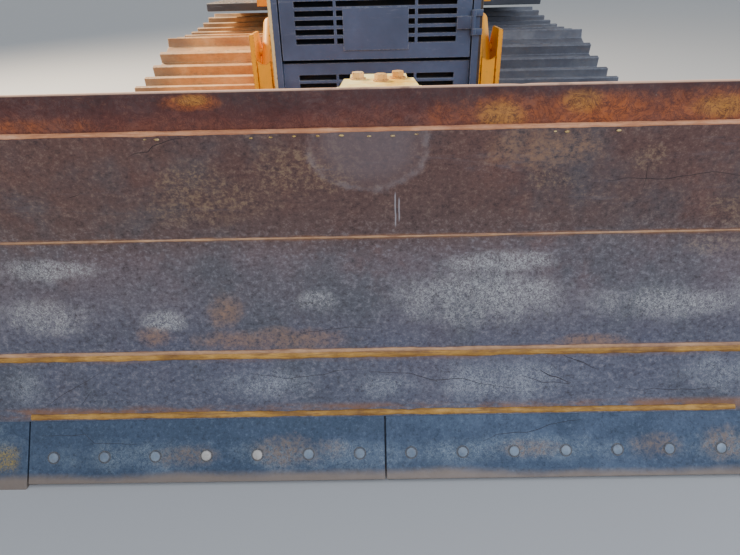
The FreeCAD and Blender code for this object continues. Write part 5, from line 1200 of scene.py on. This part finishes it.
def build_hood_fittings():
    """Filler hatch on the hood, clamps of the exhaust and intake, a latch of the grille door, the roof's gutter."""
    hatch = slab(0, 0.13, (-0.66, -0.48), (1.6995, 1.712), 0.004)
    knob = turned(disc(0.022, 0.012, 0.003), Matrix.Translation((0, -0.50, 1.711)))
    mesh_piece("hood_hatch", join([hatch, knob]), YELLOW)
    clamps = []
    for x, y, z, radius in ((-0.19, -0.15, 1.735, 0.059), (0.17, -0.35, 1.80, 0.062), (-0.19, -0.15, 2.15, 0.062)):
        band = bmesh.new()
        drum(band, radius, 0.022, 32, -0.011, ends=False)
        bmesh.ops.solidify(band, geom=band.faces[:], thickness=-0.004)
        bmesh.ops.recalc_face_normals(band, faces=band.faces)
        clamps += [turned(band, Matrix.Translation((x, y, z))),
                   slab(x + radius + 0.008, 0.010, (y - 0.010, y + 0.010), (z - 0.008, z + 0.008), 0.003)]
    mesh_piece("pipe_clamps", join(clamps), IRON)
    base = slab(-0.38, 0.015, (-1.003, -0.995), (1.44, 1.53), 0.003)
    lever = tube([(-0.38, y, z) for y, z in ((-1.001, 1.515), (-1.014, 1.51), (-1.018, 1.48), (-1.018, 1.455))], 0.005)
    mesh_piece("grille_latch", join([base, lever]), TRIM, "grille_door_body")
    gutter = [slab(0, 0.766, (y, y + 0.007), (2.694, 2.712), 0.002) for y in (0.4135, 1.7995)]
    gutter += [slab(x, 0.0035, (0.4135, 1.8065), (2.694, 2.712), 0.002) for x in (-0.763, 0.763)]
    mesh_piece("roof_gutter", join(gutter), TRIM)


def build_controls():
    """Levers with round knobs on the consoles, pedals on the floor and gauges on the dash."""
    rods, knobs = [], []
    for x, y, lean in ((0.36, 0.98, -0.03), (-0.36, 0.98, -0.03), (0.36, 1.12, 0.02), (-0.36, 1.12, 0.02)):
        rods += [tube([(x, y, 1.725), (x, y + lean * 0.4, 1.80), (x, y + lean, 1.87)], 0.006),
                 turned(disc(0.032, 0.010, 0.003), Matrix.Translation((x, y, 1.728)))]
        knobs.append(turned(ball(0.022, (1, 1, 1.25), 16, 10), Matrix.Translation((x, y + lean, 1.885))))
    for x in (-0.14, 0.14):
        rods.append(tube([(x, 0.70, 1.168), (x, 0.78, 1.22), (x, 0.80, 1.27)], 0.008))
        pedal = block((-0.045, -0.03, 0), (0.045, 0.03, 0.012), 0.004)
        knobs.append(turned(pedal, facing_matrix((x, 0.805, 1.275), (0, 0.6, 0.8))))
    mesh_piece("lever_rods", join(rods), IRON)
    mesh_piece("lever_knobs", join(knobs), TRIM)
    spots = seats_on(surface_of("dash"), [(x, 1.1, 1.56) for x in (-0.2, -0.1, 0.0, 0.1, 0.2)], (0, -1, 0))
    stamped(flat_ring(0.036), spots, "gauge_bezels", TRIM)
    stamped(disc(0.030, 0.004, 0.001, 28), spots, "gauge_faces", GAUGE)


def drawn_in(size, u, w, t):
    """A cushion's point: u, w and t run from -1 to 1, and its corners and borders are drawn in."""
    pull = (1 - 0.10 * (u * w) ** 2) * (1 - 0.07 * t * t)
    return u * size[0] / 2 * pull, w * size[1] / 2 * pull


def cushion(size, crown):
    """A padded block: crowned top, sides drawn in at the corners, seam round it and two sewn channels."""
    shape = bmesh.new()
    bmesh.ops.create_cube(shape, size=1.0)
    bmesh.ops.subdivide_edges(shape, edges=shape.edges[:], cuts=27, use_grid_fill=True)
    for v in shape.verts:
        u, w, t = v.co * 2
        x, y = drawn_in(size, u, w, t)
        z = t * (size[2] / 2 - crown)
        swell = crown * (1 - u * u) ** 0.5 * (1 - w * w) ** 0.5 if abs(u) < 1 and abs(w) < 1 else 0.0
        if t > 0.99:
            groove = sum(math.exp(-((x - c * size[0] / 2) / 0.008) ** 2) for c in (-0.42, 0.42))
            z += swell - 0.009 * min(1.0, groove) * (1 - w ** 6)
            z += 0.0022 * noise.noise(Vector((x * 14, y * 14, 2)))
        elif t < -0.99:
            z -= swell * 0.15
        elif abs(t) < 0.12:
            x, y = x * 0.992, y * 0.992
        v.co = (x, y, z)
    bmesh.ops.smooth_vert(shape, verts=shape.verts, factor=0.35, use_axis_x=True, use_axis_y=True, use_axis_z=True)
    return shape


def piping(size, crown, level=0.86):
    """The sewn cord round a cushion's upper edge."""
    steps = [k / 6 for k in range(-6, 6)]
    walk = [(s, -1) for s in steps] + [(1, s) for s in steps] + [(-s, 1) for s in steps] + [(-1, -s) for s in steps]
    points = [(*drawn_in(size, u, w, level), level * (size[2] / 2 - crown)) for u, w in walk + walk[:1]]
    return tube(points, 0.004, 1, 1)


def build_seat():
    """Operator's seat: a moulded base, a sprung box, and crowned cushions with armrests."""
    base = [slab(0, 0.18, (1.10, 1.44), (1.1705, 1.24), 0.01), slab(0, 0.245, (0.99, 1.45), (1.385, 1.425), 0.012)]
    for i in range(7):
        fold = 0.006 * (i % 2)
        base.append(slab(0, 0.165 + fold, (1.115 - fold, 1.425 + fold), (1.24 + 0.021 * i, 1.262 + 0.021 * i), 0.006))
    mesh_piece("seat_base", join(base), TRIM, replaces=("operator_seat",))
    leaning = Matrix.Translation((0, 1.518, 1.885)) @ Matrix.Rotation(math.radians(82), 4, "X")
    for name, size, crown, lay in (("seat_cushion", (0.50, 0.46, 0.145), 0.030, Matrix.Translation((0, 1.22, 1.493))),
                                   ("seat_backrest", (0.50, 0.62, 0.125), 0.026, leaning)):
        pad = mesh_piece(name, turned(cushion(size, crown), lay), CLOTH, smooth=60, replaces=("operator_seat",))
        mesh_piece(name + "_piping", turned(piping(size, crown), lay), TRIM, smooth=60)
    arms = []
    for side in (-1, 1):
        arms += [slab(side * 0.275, 0.022, (1.18, 1.45), (1.70, 1.745), 0.014, 3),
                 slab(side * 0.262, 0.012, (1.42, 1.47), (1.50, 1.72), 0.006)]
    mesh_piece("seat_armrests", join(arms), TRIM)


def barrel_pipe(name, body, start, end, out, path, port):
    """A steel oil pipe that leaves a barrel's axis by (along, out) stations, a port block under each end."""
    start, out = Vector(start), Vector(out)
    along = (Vector(end) - start).normalized()
    pieces = [tube([start + along * a + out * b for a, b in path], 0.007)]
    for a in (path[0][0], path[-1][0]):
        pieces.append(block(*(start + along * a + Vector(corner) for corner in port), 0.003))
    mesh_piece(name, join(pieces), TRIM, body)


def build_cylinder_pipes():
    """Steel oil pipes along the angle and tilt barrels, with their port blocks."""
    for side, name in SIDES:
        barrel_pipe("angle_pipe_" + name, "angle_cylinder_" + name, (side * 0.38, -1.30, 0.62),
                    (side * 0.43, -1.975, 0.62), (0, 0, 1),
                    ((0.06, 0.038), (0.06, 0.056), (0.10, 0.058), (0.34, 0.058), (0.385, 0.056), (0.385, 0.038)),
                    ((-0.016, -0.016, 0.038), (0.016, 0.016, 0.054)))
    barrel_pipe("tilt_pipe", "tilt_cylinder", (-0.185, -2.05, 0.93), (-0.90, -2.05, 0.80), (0, 1, 0),
                ((0.07, 0.042), (0.07, 0.058), (0.11, 0.06), (0.38, 0.06), (0.42, 0.058), (0.42, 0.042)),
                ((-0.016, 0.040, -0.016), (0.016, 0.058, 0.016)))


def placed(name, data):
    """A new object of the scene."""
    made = bpy.data.objects.new(name, data)
    bpy.context.scene.collection.objects.link(made)
    return made


def floor_and_light():
    """A pale floor and soft lights: a warm large one behind on the right-hand side, cool fill in front."""
    shape = bmesh.new()
    bmesh.ops.create_grid(shape, x_segments=1, y_segments=1, size=60)
    mesh = bpy.data.meshes.new("studio_floor")
    shape.to_mesh(mesh)
    shape.free()
    f = Finish("floor_finish", 0.7)
    f.tone = tint("bcbcba")
    mesh.materials.append(f.done())
    placed("studio_floor", mesh)
    for name, place, size, power, colour in (
            ("sun_side_panel", (-6.0, 3.0, 6.5), 1.6, 2000, "ffecd2"),
            ("front_fill", (2.0, -7.0, 4.5), 6.0, 260, "dfe9ff"),
            ("right_fill", (6.5, -1.0, 4.0), 5.0, 160, "e6eeff")):
        lamp = bpy.data.lights.new(name, "AREA")
        lamp.size = size
        lamp.energy = power
        lamp.color = tint(colour)[:3]
        aim = Vector((0, -0.4, 0.8)) - Vector(place)
        placed(name, lamp).matrix_world = (Matrix.Translation(place)
                                           @ aim.to_track_quat("-Z", "Y").to_matrix().to_4x4())
    world = bpy.data.worlds.new("studio_air")
    bpy.context.scene.world = world
    world.use_nodes = True
    air = world.node_tree.nodes["Background"].inputs
    air["Color"].default_value = tint("d9e0ea")
    air["Strength"].default_value = 0.85


def photo_camera():
    """The camera at the photographer's place, looking down at the blade."""
    lens = bpy.data.cameras.new("photo_camera")
    lens.lens = LENS
    lens.sensor_width = SENSOR
    lens.clip_end = 200
    camera = placed("photo_camera", lens)
    camera.matrix_world = (Matrix.Translation(EYE) @ Matrix.Rotation(TURNED, 4, "Z")
                           @ Matrix.Rotation(math.pi / 2 - LOOK_DOWN, 4, "X") @ Matrix.Rotation(ROLLED, 4, "Z"))
    bpy.context.scene.camera = camera


dress_nodes()
build_gouges((surface_of("cutting_edges"), build_blade_face()))
build_welds()
build_lip()
build_edge_bolts()
build_shoe_bolts()
build_guard_and_cap()
build_window_seals()
build_door_handles()
build_wipers()
build_mirrors()
build_lamps()
build_fender_tread()
build_bolts()
build_tank()
build_hood_fittings()
build_controls()
build_seat()
build_cylinder_pipes()
floor_and_light()
photo_camera()
